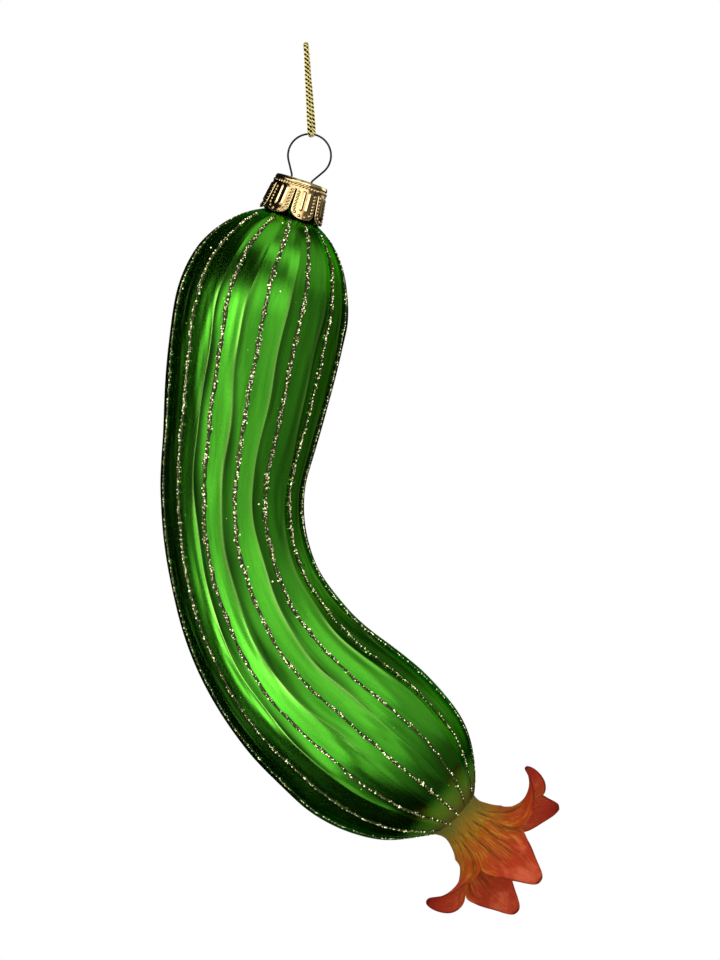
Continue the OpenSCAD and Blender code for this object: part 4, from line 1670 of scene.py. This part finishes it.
@dataclass
class GlitterLine:
    """One piped line of glue with glitter grains, along a groove from the cap to the blossom."""

    form: BodyForm
    number: int
    start: float = 1.7
    end: float = 140.2
    half_width: float = 0.43
    height: float = 0.2
    arch_drop: float = 0.94
    sink: float = 0.05
    wander_waves: Waves = ((0.13, 27, 1.9), (0.08, 11, 3.1), (0.05, 4.3, 0.7))
    lump_waves: Waves = ((0.16, 7.3, 2.3), (0.12, 2.9, 5.1))
    start_run: float = 1.5
    end_run: float = 2.5
    lump_middle: float = 0.95
    end_share: float = 0.25
    waist: float = 60.0
    waist_run: float = 50.0
    waist_loss: float = 0.3
    rows: int = 300
    arch_columns: int = 7
    seed: int = 4100
    scatter_steps: int = 2000
    grains: int = 1200
    grain_crowd: float = 1.5
    grain_spread: float = 0.56
    grain_reach: float = 1.2
    grain_lift: float = 0.06
    grain_tip: float = 0.6
    grain_least: float = 0.085
    grain_more: float = 0.12
    grain_thick: float = 0.3
    grain_sides: int = 6
    strays: int = 14
    stray_spread: float = 1.6

    def wander(self, s: Array) -> Array:
        """Sideways wander of the line, in millimetres: three waves of its own."""
        return waves(s, self.number, *self.wander_waves)

    def arched(self, arch: Array) -> Array:
        """Height of the line's arch at a share of its half width."""
        return self.height * np.sqrt(np.clip(1 - self.arch_drop * arch**2, 0, 1))

    def surface(self, s: Array, aside: Array) -> tuple[Array, Array]:
        """Points of the body beside the groove.

        Args:
            s: Place along the middle line.
            aside: Distance to the right of the groove.

        Returns:
            The points, and the directions out of the body there.
        """
        form = self.form
        share = aside / (np.maximum(form.girth(s), 1.0) * form.pitch)
        rib = (self.number - 1 + np.floor(share)) % form.rib_count
        across = share - np.floor(share)
        turn = form.turn(rib, across)
        return form.skin_point(s, form.ribbed(s, rib, across), turn), form.outward(form.heading(s), turn)

    def lumps(self, s: Array) -> Array:
        """Thickness of the line along its length, about 1, less past the waist, thin at its ends.

        Args:
            s: Place along the middle line.

        Returns:
            Thicknesses, as shares.
        """
        ends = ease((s - self.start) / self.start_run) * ease((self.end - s) / self.end_run)
        lumpy = self.lump_middle + waves(s, self.number, *self.lump_waves)
        past_waist = self.waist_loss * ease((s - self.waist) / self.waist_run)
        return lumpy * (self.end_share + (1 - self.end_share) * ends) * (1 - past_waist)

    def bead(self, work: Sheetwork) -> None:
        """Add the line of glue: a low arch carried along the groove and closed under it.

        Args:
            work: The gathered grids.
        """
        s = np.linspace(self.start, self.end, self.rows)[:, None]
        arch = np.linspace(-1, 1, self.arch_columns)
        aside = np.concatenate([arch, [0.5, -0.5]])[None]
        lift = np.concatenate([self.sink + self.arched(arch), [-self.sink, -self.sink]])[None]
        lump = self.lumps(s)
        points, out = self.surface(s + 0 * aside, self.wander(s) + self.half_width * lump * aside)
        numbers = work.add(points + (lift * lump)[..., None] * out, tone=0.0)
        work.skin(numbers, wrap=True)
        caps = work.add(points[[0, -1]].mean(axis=1), tone=0.0)
        work.fan(numbers[0], caps[0], flip=True)
        work.fan(numbers[-1], caps[1])

    def scatter(self, work: Sheetwork) -> None:
        """Add the grains: flat six-sided double pyramids strewn over the line, with a few strays.

        A grain's place along the line is drawn in proportion to the line's thickness; its axis is
        the way out of the body, tipped at random.

        Args:
            work: The gathered grids.
        """
        rng = np.random.default_rng(self.seed + self.number)
        fine = np.linspace(self.start, self.end, self.scatter_steps)
        share = np.cumsum(self.lumps(fine) ** self.grain_crowd)
        s = np.interp(rng.random(self.grains) * share[-1], share, fine)
        arch = np.clip(rng.normal(0, self.grain_spread, self.grains), -self.grain_reach, self.grain_reach)
        lump = self.lumps(s)
        loose = np.arange(self.grains) < self.strays
        strewn = rng.normal(0, self.stray_spread, self.grains)
        aside = np.where(loose, strewn, self.wander(s) + self.half_width * lump * arch)
        lift = np.where(loose, self.sink, self.grain_lift + self.arched(arch) * lump)
        points, out = self.surface(s, aside)
        axis = unit(out + rng.normal(0, self.grain_tip, (self.grains, 3)))
        side = unit(np.cross(axis, rng.normal(0, 1, (self.grains, 3))))
        size = self.grain_least + self.grain_more * rng.random(self.grains) ** 3
        tone = rng.random(self.grains)
        centre = points + lift[:, None] * out
        spread = spokes(circle(self.grain_sides), side, np.cross(axis, side))
        thick = (self.grain_thick * size)[:, None] * axis
        rings = work.add(centre[:, None] + size[:, None, None] * spread, tone=tone[:, None])
        tops, bottoms = (work.add(centre + way * thick, tone=tone) for way in (1, -1))
        work.fan(rings, tops)
        work.fan(rings, bottoms, flip=True)

    def build(self, grains: Material, glue: Material) -> Piece:
        """Make the line's piece, with the grains and the glue as its two materials.

        Args:
            grains: Material of the grains.
            glue: Material of the glue.

        Returns:
            The line's piece.
        """
        work = Sheetwork()
        self.bead(work)
        glued = sum(len(rows) for kind in work.faces.values() for rows in kind)
        self.scatter(work)
        name = f"glitter_line_{self.number}"
        piece = settle(work.piece(f"piped_{name}", smooth=False), Body.GLASS, grains, name)
        piece.data.materials.append(glue)
        order = np.arange(len(piece.data.polygons))
        piece.data.polygons.foreach_set("material_index", (order < glued).astype(np.int32))
        return piece


@dataclass(frozen=True)
class Petal:
    """One petal: its length, its tip's and root's headings in degrees from straight ahead, and its twist."""

    length: float
    curl: float
    root: float = math.degrees(math.atan(4 / 4.8))
    twist: float = 0.0


@dataclass
class Blossom:
    """The moulded blossom: a flared throat and six petals, one sheet of varying thickness."""

    form: BodyForm
    wall: float = 0.7
    base_r: float = 5.0
    throat_len: float = 4.8
    mouth_r: float = 7.0
    tip_w: float = 3.6
    belly: float = 2.3
    cup: float = 3.6
    turned: float = math.radians(4)
    seat: float = 0.06
    petals: tuple[Petal, ...] = (
        Petal(16.2, 6), Petal(13.2, 153), Petal(13.6, 49, twist=-32), Petal(13.0, 75),
        Petal(16.2, 6, root=2, twist=62), Petal(14.4, 136, twist=16),
    )
    columns: int = 44
    throat_rows: int = 26
    fillet_rows: int = 14
    petal_rows: int = 60
    tip_end: float = 1.02
    round_from: float = 0.84
    web_to: float = 0.3
    web_open: float = 0.28
    fold_h: float = 0.2
    fold_waves: tuple[Row, ...] = (
        (0.34, 17, 1.9, 0, 0), (0.32, 29, -2.6, 0, 1), (0.24, 47, 0, 3.1, 0), (0.10, 71, 4.0, 0, 0))
    fold_swells: tuple[Row, ...] = ((0.5, 3, 0, 1), (0.5, 5, -2, 0), (0.5, 4, 0, 2), (0, 0, 0, 0))
    fold_run: float = 0.55
    fold_loss: float = 0.85
    fold_fade: Span = (1.2, 0.6)
    ripe_curl: float = 20.0
    twist_run: float = 0.6
    belly_run: float = 0.45
    corner: float = 2.4
    row_turn: float = 1.52
    thin_edge: float = 0.72
    thin_tip: float = 0.55
    thin_run: float = 0.3
    margin_span: Span = (0.3, 0.6)
    ripe_span: Span = (0.4, 1.0)
    foot_reach: float = -0.4
    fillet_a: Row = (-2.6, -0.6, 1.3)
    fillet_r: Row = (6.6, 4.72, 5.147)

    def __post_init__(self) -> None:
        """Work out the blossom's seat on the tail, the lean of its mouth and the columns round it."""
        form = self.form
        bore = self.base_r - self.wall
        share = math.sqrt(1 - (bore / form.belly_r) ** (1 / form.tail_sharp))
        self.at = form.belly_at + form.tail_len * share + self.seat
        self.flare = self.mouth_r - self.base_r
        self.mouth_lean = math.atan(2 * self.flare / self.throat_len)
        self.pitch = 2 * math.pi / len(self.petals)
        self.foot_top = self.fillet_a[2] / self.throat_len
        self.ring = np.repeat(np.arange(len(self.petals)), self.columns)[None]
        self.across = np.tile(2 * np.arange(self.columns) / self.columns - 1, len(self.petals))[None]

    def point(self, a: Array, r: Array, turn: Array, aside: Array) -> Array:
        """Points about the blossom's axis.

        Args:
            a: Height along the axis.
            r: Radius.
            turn: Turn about the axis.
            aside: Step sideways from there.

        Returns:
            Points.
        """
        head = np.asarray(self.form.head_tail)
        middle = self.form.centre(np.asarray(self.at))
        return (
            middle + np.asarray(a)[..., None] * self.form.lead(head)
            + np.asarray(r)[..., None] * self.form.outward(head, self.turned + turn)
            + np.asarray(aside)[..., None] * self.form.outward(head, self.turned + turn + np.pi / 2)
        )

    def folds(self, petal: Array, u: Array, reach: Array) -> Array:
        """Height of the fine folds that fan out of the throat, about 0 and within 1.

        Four whole numbers of waves round the blossom, each bent along the petals and swelling and
        fading round the ring, strongest at the mouth and gone at the foot and the tips.

        Args:
            petal: Number of the petal.
            u: Place across it, -1 to 1.
            reach: 0 at the foot, 1 at the mouth, 2 at the tip.

        Returns:
            Heights.
        """
        ring = 2 * np.pi * (petal + u / 2) / len(self.petals)
        fine = (
            high * np.sin(count * ring + bend * reach + curl * np.sin(2 * reach) + phase)
            for high, count, bend, curl, phase in self.fold_waves)
        swells = (
            1 + high * np.sin(count * ring + bend * reach + phase)
            for high, count, bend, phase in self.fold_swells)
        heights = sum(fold * swell for fold, swell in zip(fine, swells))
        start, run = self.fold_fade
        return heights * ease(reach / self.fold_run) * (1 - self.fold_loss * ease((reach - start) / run))

    def throat(self, depth: Array, a: Array, turn: Array) -> Array:
        """Points of the throat: its radius grows with the square of the height.

        Args:
            depth: Depth inside the outer face.
            a: Height along the axis.
            turn: Turn about the axis.

        Returns:
            Points.
        """
        share = np.clip(a / self.throat_len, 0, 1)
        lean = np.arctan(2 * self.flare * share / self.throat_len)
        r = self.base_r + self.flare * share**2
        return self.point(a + depth * np.sin(lean), r - depth * np.cos(lean), turn, 0 * turn)

    def petal(self, petal: Array, t: Array, u: Array, wall: Array) -> Array:
        """Points of the petals.

        A petal's middle is an arc from its root's heading to its tip's. Its half width narrows to the
        tip with a full belly and rounded corners, its edges lie ahead of its middle by the square of
        the place across, and it may twist about its length.

        Args:
            petal: Number of the petal.
            t: Share of its length.
            u: Place across it, -1 to 1.
            wall: Depth inside the outer face.

        Returns:
            Points.
        """
        length = np.array([p.length for p in self.petals])[petal]
        root, tip, twist = (
            np.radians([getattr(p, name) for p in self.petals])[petal] for name in ("root", "curl", "twist"))
        lean = root + (tip - root) * t
        arc = length / (tip - root)
        twist = twist * ease(t / self.twist_run)
        wide = self.mouth_r * math.sin(self.pitch / 2)
        full = np.sin(np.pi * np.clip(t, 0, 1)) ** 2 * ease(t / self.belly_run)
        half = wide * (1 - t) + self.tip_w / 2 * t + self.belly * full
        corner = np.clip((t - self.round_from) / (self.tip_end - self.round_from), 0, 1)
        half = half * (1 - corner**self.corner) ** (1 / self.corner)
        sag = self.mouth_r * (1 - math.cos(self.pitch / 2))
        dish = sag * (1 - t) + self.cup * np.maximum(tip - self.mouth_lean, 0) / np.pi * np.sin(np.pi * t)
        edge, fold = half * u, dish * u**2 + wall
        depth = fold * np.cos(twist) - edge * np.sin(twist)
        a = self.throat_len + arc * (np.sin(lean) - np.sin(root)) + depth * np.sin(lean)
        r = self.mouth_r + arc * (np.cos(root) - np.cos(lean)) - depth * np.cos(lean)
        return self.point(a, r, petal * self.pitch, edge * np.cos(twist) + fold * np.sin(twist))

    def webbed(self, leaves: Array, t: Array, u: Array) -> Array:
        """Draw the edges of neighbouring petals together near their roots, as one skin.

        Each edge moves to the middle between it and its neighbour's; the points inside follow by the
        cube of their place across, and the hold fades along the petal.

        Args:
            leaves: Points by petal, row and column.
            t: Share of the petals' length, by row.
            u: Place across them, by column.

        Returns:
            The moved points.
        """
        hold = (1 - ease((t - self.web_to) / self.web_open))[..., None]
        right, left = leaves[:, :, -1:], leaves[:, :, :1]
        to_right = (np.roll(left, -1, axis=0) - right) / 2
        to_left = (np.roll(right, 1, axis=0) - left) / 2
        pull = np.clip(u, 0, 1)[..., None] ** 3, np.clip(-u, 0, 1)[..., None] ** 3
        return leaves + hold * (pull[0] * to_right + pull[1] * to_left)

    def ringed(self, work: Sheetwork, points: Array, reach: Array, fold: Array) -> Array:
        """Add rings of points round the throat or the foot, and give back their numbers."""
        turn = self.ring + self.across / 2
        return work.add(points, reach=reach, edge=0.0, turn=turn, fold=0.5 + 0.5 * fold, ripe=0.0)

    def throat_face(self, work: Sheetwork, inside: bool) -> Array:
        """Add one face of the throat; the outer one starts above the foot's curve.

        Args:
            work: The gathered grids.
            inside: Whether it is the inner face.

        Returns:
            Its point numbers, by row and column.
        """
        rise = np.linspace(0.0 if inside else self.foot_top, 1, self.throat_rows)[:, None]
        fold = self.folds(self.ring, self.across, rise)
        turn = (self.ring + self.across / 2) * self.pitch + 0 * rise
        points = self.throat(inside * self.wall - self.fold_h * fold, rise * self.throat_len, turn)
        numbers = self.ringed(work, points, rise, fold)
        work.skin(numbers, wrap=True, flip=inside)
        return numbers

    def petal_face(self, work: Sheetwork, inside: bool, mouth: Array) -> Array:
        """Add one face of the petals, from the throat's mouth to the tips.

        The sheet thins towards the petals' edges, by the fourth power of the place across, and
        towards their tips.

        Args:
            work: The gathered grids.
            inside: Whether it is the inner face.
            mouth: Point numbers round the throat's mouth.

        Returns:
            Its point numbers, by petal, row and column.
        """
        petal = np.arange(len(self.petals))[:, None, None]
        rows = np.sin(np.linspace(0, self.row_turn, self.petal_rows)[1:])
        t = (self.tip_end * rows / math.sin(self.row_turn))[None, :, None]
        u = np.linspace(-1, 1, self.columns + 1)[None, None]
        fold = self.folds(petal, u, 1 + t)
        thin = 1 - self.thin_edge * u**4 * ease(t / self.thin_run)
        depth = inside * self.wall * thin * (1 - self.thin_tip * t) - self.fold_h * fold
        tips = ramped(t, self.round_from, self.tip_end)
        ripe = np.array([p.curl > self.ripe_curl for p in self.petals])[petal]
        leaf = work.add(
            self.webbed(self.petal(petal, t, u, depth), t, u),
            reach=1 + t / self.tip_end,
            edge=np.maximum(np.abs(u) * ramped(t, *self.margin_span), tips),
            turn=petal + u / 2,
            fold=0.5 + 0.5 * fold,
            ripe=ripe * ramped(t, *self.ripe_span),
        )
        roots = np.append(mouth, mouth[0])[petal * self.columns + np.arange(self.columns + 1)]
        numbers = np.concatenate([roots, leaf], axis=1)
        work.skin(numbers, flip=inside)
        return numbers

    def foot(self, work: Sheetwork) -> Array:
        """Add the foot, which runs into the tail by a curve through three weighted points.

        Args:
            work: The gathered grids.

        Returns:
            Its point numbers, by row and column.
        """
        q = np.linspace(0, 1, self.fillet_rows)[:-1, None]
        weights = ((1 - q) ** 2, 2 * q * (1 - q), q**2)
        a, r = (sum(w * x for w, x in zip(weights, ends)) for ends in (self.fillet_a, self.fillet_r))
        fold = self.folds(self.ring, self.across, 0 * q + self.foot_top) * q**2
        turn = (self.ring + self.across / 2) * self.pitch + 0 * q
        points = self.point(a + 0 * turn, r + self.fold_h * fold, turn, 0 * turn)
        return self.ringed(work, points, self.foot_reach + (self.foot_top - self.foot_reach) * q, fold)

    def build(self) -> Piece:
        """Make the outer and inner faces of the sheet and close it at its foot and along its edges.

        Returns:
            The blossom's piece.
        """
        work = Sheetwork()
        throat = self.throat_face(work, inside=False)
        leaf = self.petal_face(work, False, throat[-1])
        throat_in = self.throat_face(work, inside=True)
        leaf_in = self.petal_face(work, True, throat_in[-1])
        work.skin(np.vstack([throat_in[0], self.foot(work), throat[0]]), wrap=True)
        work.hem(leaf, leaf_in, flip=True)
        piece = work.piece("moulded_blossom")
        return settle(piece, Body.GLASS, PetalLacquer().material(), "blossom")


# The studio


@dataclass(frozen=True)
class Softbox:
    """A flat lamp that faces a point: its place about it in degrees, its size and its level.

    A lamp for gloss is shown by gloss alone, and any other lamp by everything but gloss.
    """

    name: str
    azimuth: float
    elevation: float
    distance: float
    width: float
    tall: float
    level: float
    gloss: bool = False

    def build(self, aim: Vector, lit: bpy.types.Collection | None = None) -> None:
        """Hang the lamp, with a power that gives its face the level as radiance.

        Args:
            aim: The point that it faces.
            lit: The pieces that it lights, or None for all of them.
        """
        a, e = math.radians(self.azimuth), math.radians(self.elevation)
        way = Vector((math.sin(a) * math.cos(e), -math.cos(a) * math.cos(e), math.sin(e)))
        lamp = bpy.data.lights.new(self.name, "AREA")
        lamp.shape = "RECTANGLE"
        lamp.size, lamp.size_y = self.width, self.tall
        lamp.energy = math.pi * self.width * self.tall * self.level
        made = bpy.data.objects.new(self.name, lamp)
        made.location = aim + self.distance * way
        made.rotation_mode = "QUATERNION"
        made.rotation_quaternion = way.to_track_quat("Z", "Y")
        made.visible_camera = False
        made.visible_glossy = self.gloss
        made.visible_diffuse = not self.gloss
        made.light_linking.receiver_collection = lit
        bpy.context.scene.collection.objects.link(made)


@dataclass(frozen=True)
class Card:
    """A glowing card: its place, half spans and soft edge in degrees, and its level."""

    azimuth: float
    elevation: float
    half_wide: float
    half_tall: float
    soft: float
    level: float

    def glow(self, azimuth: Array, elevation: Array) -> Array:
        """Level of the card towards a direction, falling off by a smooth step across its soft edge.

        Args:
            azimuth: Degrees from the front towards the right.
            elevation: Degrees above the level.

        Returns:
            Levels.
        """
        aside = np.abs((azimuth - self.azimuth + 180) % 360 - 180)
        above = np.abs(elevation - self.elevation)
        wide = ease((self.half_wide - aside) / self.soft + 0.5)
        return self.level * wide * ease((self.half_tall - above) / self.soft + 0.5)


@dataclass
class Studio:
    """Camera, lamps, floor, backdrop and the cards that the gloss shows."""

    aim: Vector = field(default_factory=lambda: Vector((0.0108, 0.0, -0.0866)))
    distance: float = 1.2
    seen_height: float = 0.192
    sensor: float = 36.0
    floor_z: float = -0.30
    floor_r: float = 1.3
    floor_plain: float = 0.25
    floor_white: float = 0.7
    floor_middle: float = 0.02
    floor_rings: int = 40
    floor_sides: int = 96
    tent_r: float = 1.7
    tent_top: float = 89.0
    tent_rings: int = 90
    tent_sides: int = 181
    fill: float = 0.92
    lamps: tuple[Softbox, ...] = (
        Softbox("left_softbox", -55, 15, 0.9, 0.95, 1.2, 0.85),
        Softbox("right_softbox", 45, 15, 1.0, 0.7, 1.2, 0.5),
        Softbox("top_softbox", 0, 65, 1.0, 0.9, 0.7, 0.6),
        Softbox("rear_softbox", 180, 20, 1.2, 1.0, 1.0, 0.6),
    )
    cards: tuple[Card, ...] = (
        Card(-61, 14, 17, 9, 8, 2.2),
        Card(-61, -23, 17, 14, 9, 2.3),
        Card(-50, -4, 14, 24, 14, 0.3),
        Card(-34, 15, 10, 10, 14, 0.85),
        Card(-34, -23, 10, 15, 14, 1.0),
        Card(-32, -6, 10, 24, 16, 0.24),
        Card(-6, -10, 6, 34, 12, 0.62),
        Card(20, -10, 9, 34, 14, 0.52),
        Card(6, -10, 17, 34, 26, 0.34),
        Card(14, 14, 18, 12, 18, 0.85),
        Card(52, 10, 18, 40, 20, 0.17),
        Card(95, 0, 30, 45, 30, 0.08),
        Card(44, 46, 13, 13, 14, 0.9),
        Card(14, 62, 24, 12, 18, 0.75),
        Card(80, 36, 30, 20, 20, 0.3),
        Card(140, 20, 20, 12, 14, 0.4),
        Card(180, 8, 14, 40, 18, 0.3),
        Card(0, 80, 180, 12, 12, 0.45),
    )
    cap_at: Vector = field(default_factory=lambda: Vector((-0.0024, 0.0, -0.0296)))
    cap_cards: tuple[Softbox, ...] = (
        Softbox("cap_left_card", -15, 24, 0.06, 0.04, 0.02, 1.7, gloss=True),
        Softbox("cap_right_card", 22, 11, 0.06, 0.05, 0.018, 1.9, gloss=True),
        Softbox("cap_side_card", 122, 10, 0.06, 0.03, 0.03, 1.3, gloss=True),
    )
    ground: float = 0.007
    glow: CardGlow = CardGlow()

    def camera(self) -> None:
        """A long lens straight in front, whose frame is as high as the ornament's picture."""
        lens = bpy.data.cameras.new("front_camera")
        lens.sensor_width = self.sensor
        lens.lens = lens.sensor_width * self.distance / self.seen_height
        made = bpy.data.objects.new("front_camera", lens)
        made.location = self.aim + Vector((0, -self.distance, 0))
        made.rotation_euler = (math.pi / 2, 0, 0)
        bpy.context.scene.collection.objects.link(made)
        bpy.context.scene.camera = made

    def tent(self) -> None:
        """A dark sphere about the ornament with the cards on it, which only reflections show."""
        azimuth = np.linspace(-180, 180, self.tent_sides)[None, :]
        elevation = np.linspace(-self.tent_top, self.tent_top, self.tent_rings)[:, None]
        glows = [card.glow(azimuth, elevation) for card in self.cards]
        level = np.maximum(np.maximum.reduce(glows), self.ground)
        a, e = np.radians(azimuth), np.radians(elevation)
        ball = stacked(np.sin(a) * np.cos(e), -np.cos(a) * np.cos(e), np.sin(e) + 0 * a)
        work = Sheetwork()
        points = (np.array(self.aim) + self.tent_r * ball) / MM
        work.skin(work.add(points, level=level / self.glow.brightest), flip=True)
        made = work.piece("reflection_cards")
        material = self.glow.material()
        material.cycles.emission_sampling = "NONE"
        made.data.materials.append(material)
        for ray in ("camera", "diffuse", "transmission", "volume_scatter", "shadow"):
            setattr(made, f"visible_{ray}", False)

    def floor(self) -> None:
        """A pale disc under the ornament that takes its shadow, white outside: a polar grid."""
        turn = circle(self.floor_sides)[None, :]
        r = (self.floor_r * np.linspace(self.floor_middle, 1, self.floor_rings) / MM)[:, None]
        work = Sheetwork()
        x, y = self.aim.x / MM + r * np.cos(turn), r * np.sin(turn)
        far = ease((r * MM - self.floor_plain) / (self.floor_white - self.floor_plain))
        numbers = work.add(stacked(x, y, self.floor_z / MM), far=far)
        middle = work.add(np.array([[self.aim.x, 0.0, self.floor_z]]) / MM, far=0.0)
        work.skin(numbers, wrap=True, flip=True)
        work.fan(numbers[0], middle[0])
        made = work.piece("pale_floor")
        made.data.materials.append(PaleFloor().material())
        made.visible_glossy = False

    def world(self) -> None:
        """White where the camera, gloss or glass sees it, and a soft fill for everything else."""
        world = bpy.data.worlds.new("studio_white")
        bpy.context.scene.world = world
        world.use_nodes = True
        paint = Paint(world.node_tree)
        camera, gloss, glass = (
            paint.node("ShaderNodeLightPath", {}, {}, f"Is {ray} Ray")
            for ray in ("Camera", "Glossy", "Transmission"))
        seen = camera.most(gloss).most(glass)
        fill, white = (
            paint.node("ShaderNodeBackground", {}, {"Color": WHITE, "Strength": strength})
            for strength in (self.fill, 1.0))
        both = paint.node("ShaderNodeMixShader", {}, {0: seen, 1: fill, 2: white})
        paint.node("ShaderNodeOutputWorld", {}, {"Surface": both})

    def build(self, cap: Piece) -> None:
        """Set up everything round the ornament but the camera.

        Args:
            cap: The cap's piece, which has small cards of its own.
        """
        bpy.context.scene.view_settings.view_transform = "Standard"
        self.world()
        self.floor()
        self.tent()
        for lamp in self.lamps:
            lamp.build(self.aim)
        cap_alone = bpy.data.collections.new("cap_alone")
        cap_alone.objects.link(cap)
        for card in self.cap_cards:
            card.build(self.cap_at, cap_alone)


def main() -> None:
    """Build the camera, the ornament's pieces and the studio, and note the sizes."""
    logging.basicConfig(level=logging.INFO, format="%(message)s")
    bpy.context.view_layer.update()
    studio = Studio()
    studio.camera()
    neck = Neck()
    HangingCord().build()
    HangerWire(neck).build()
    cap = Cap(neck).build()
    form = BodyForm(neck)
    GlassBody(form).build()
    grains, glue = GlitterFlakes().material(), GlitterGlue().material()
    for number in range(1, form.rib_count + 1):
        GlitterLine(form, number).build(grains, glue)
    Blossom(form).build()
    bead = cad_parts["blossom_glue"]
    bead.data.materials.clear()
    bead.data.materials.append(SetGlue().material())
    studio.build(cap)


if __name__ == "__main__":
    main()
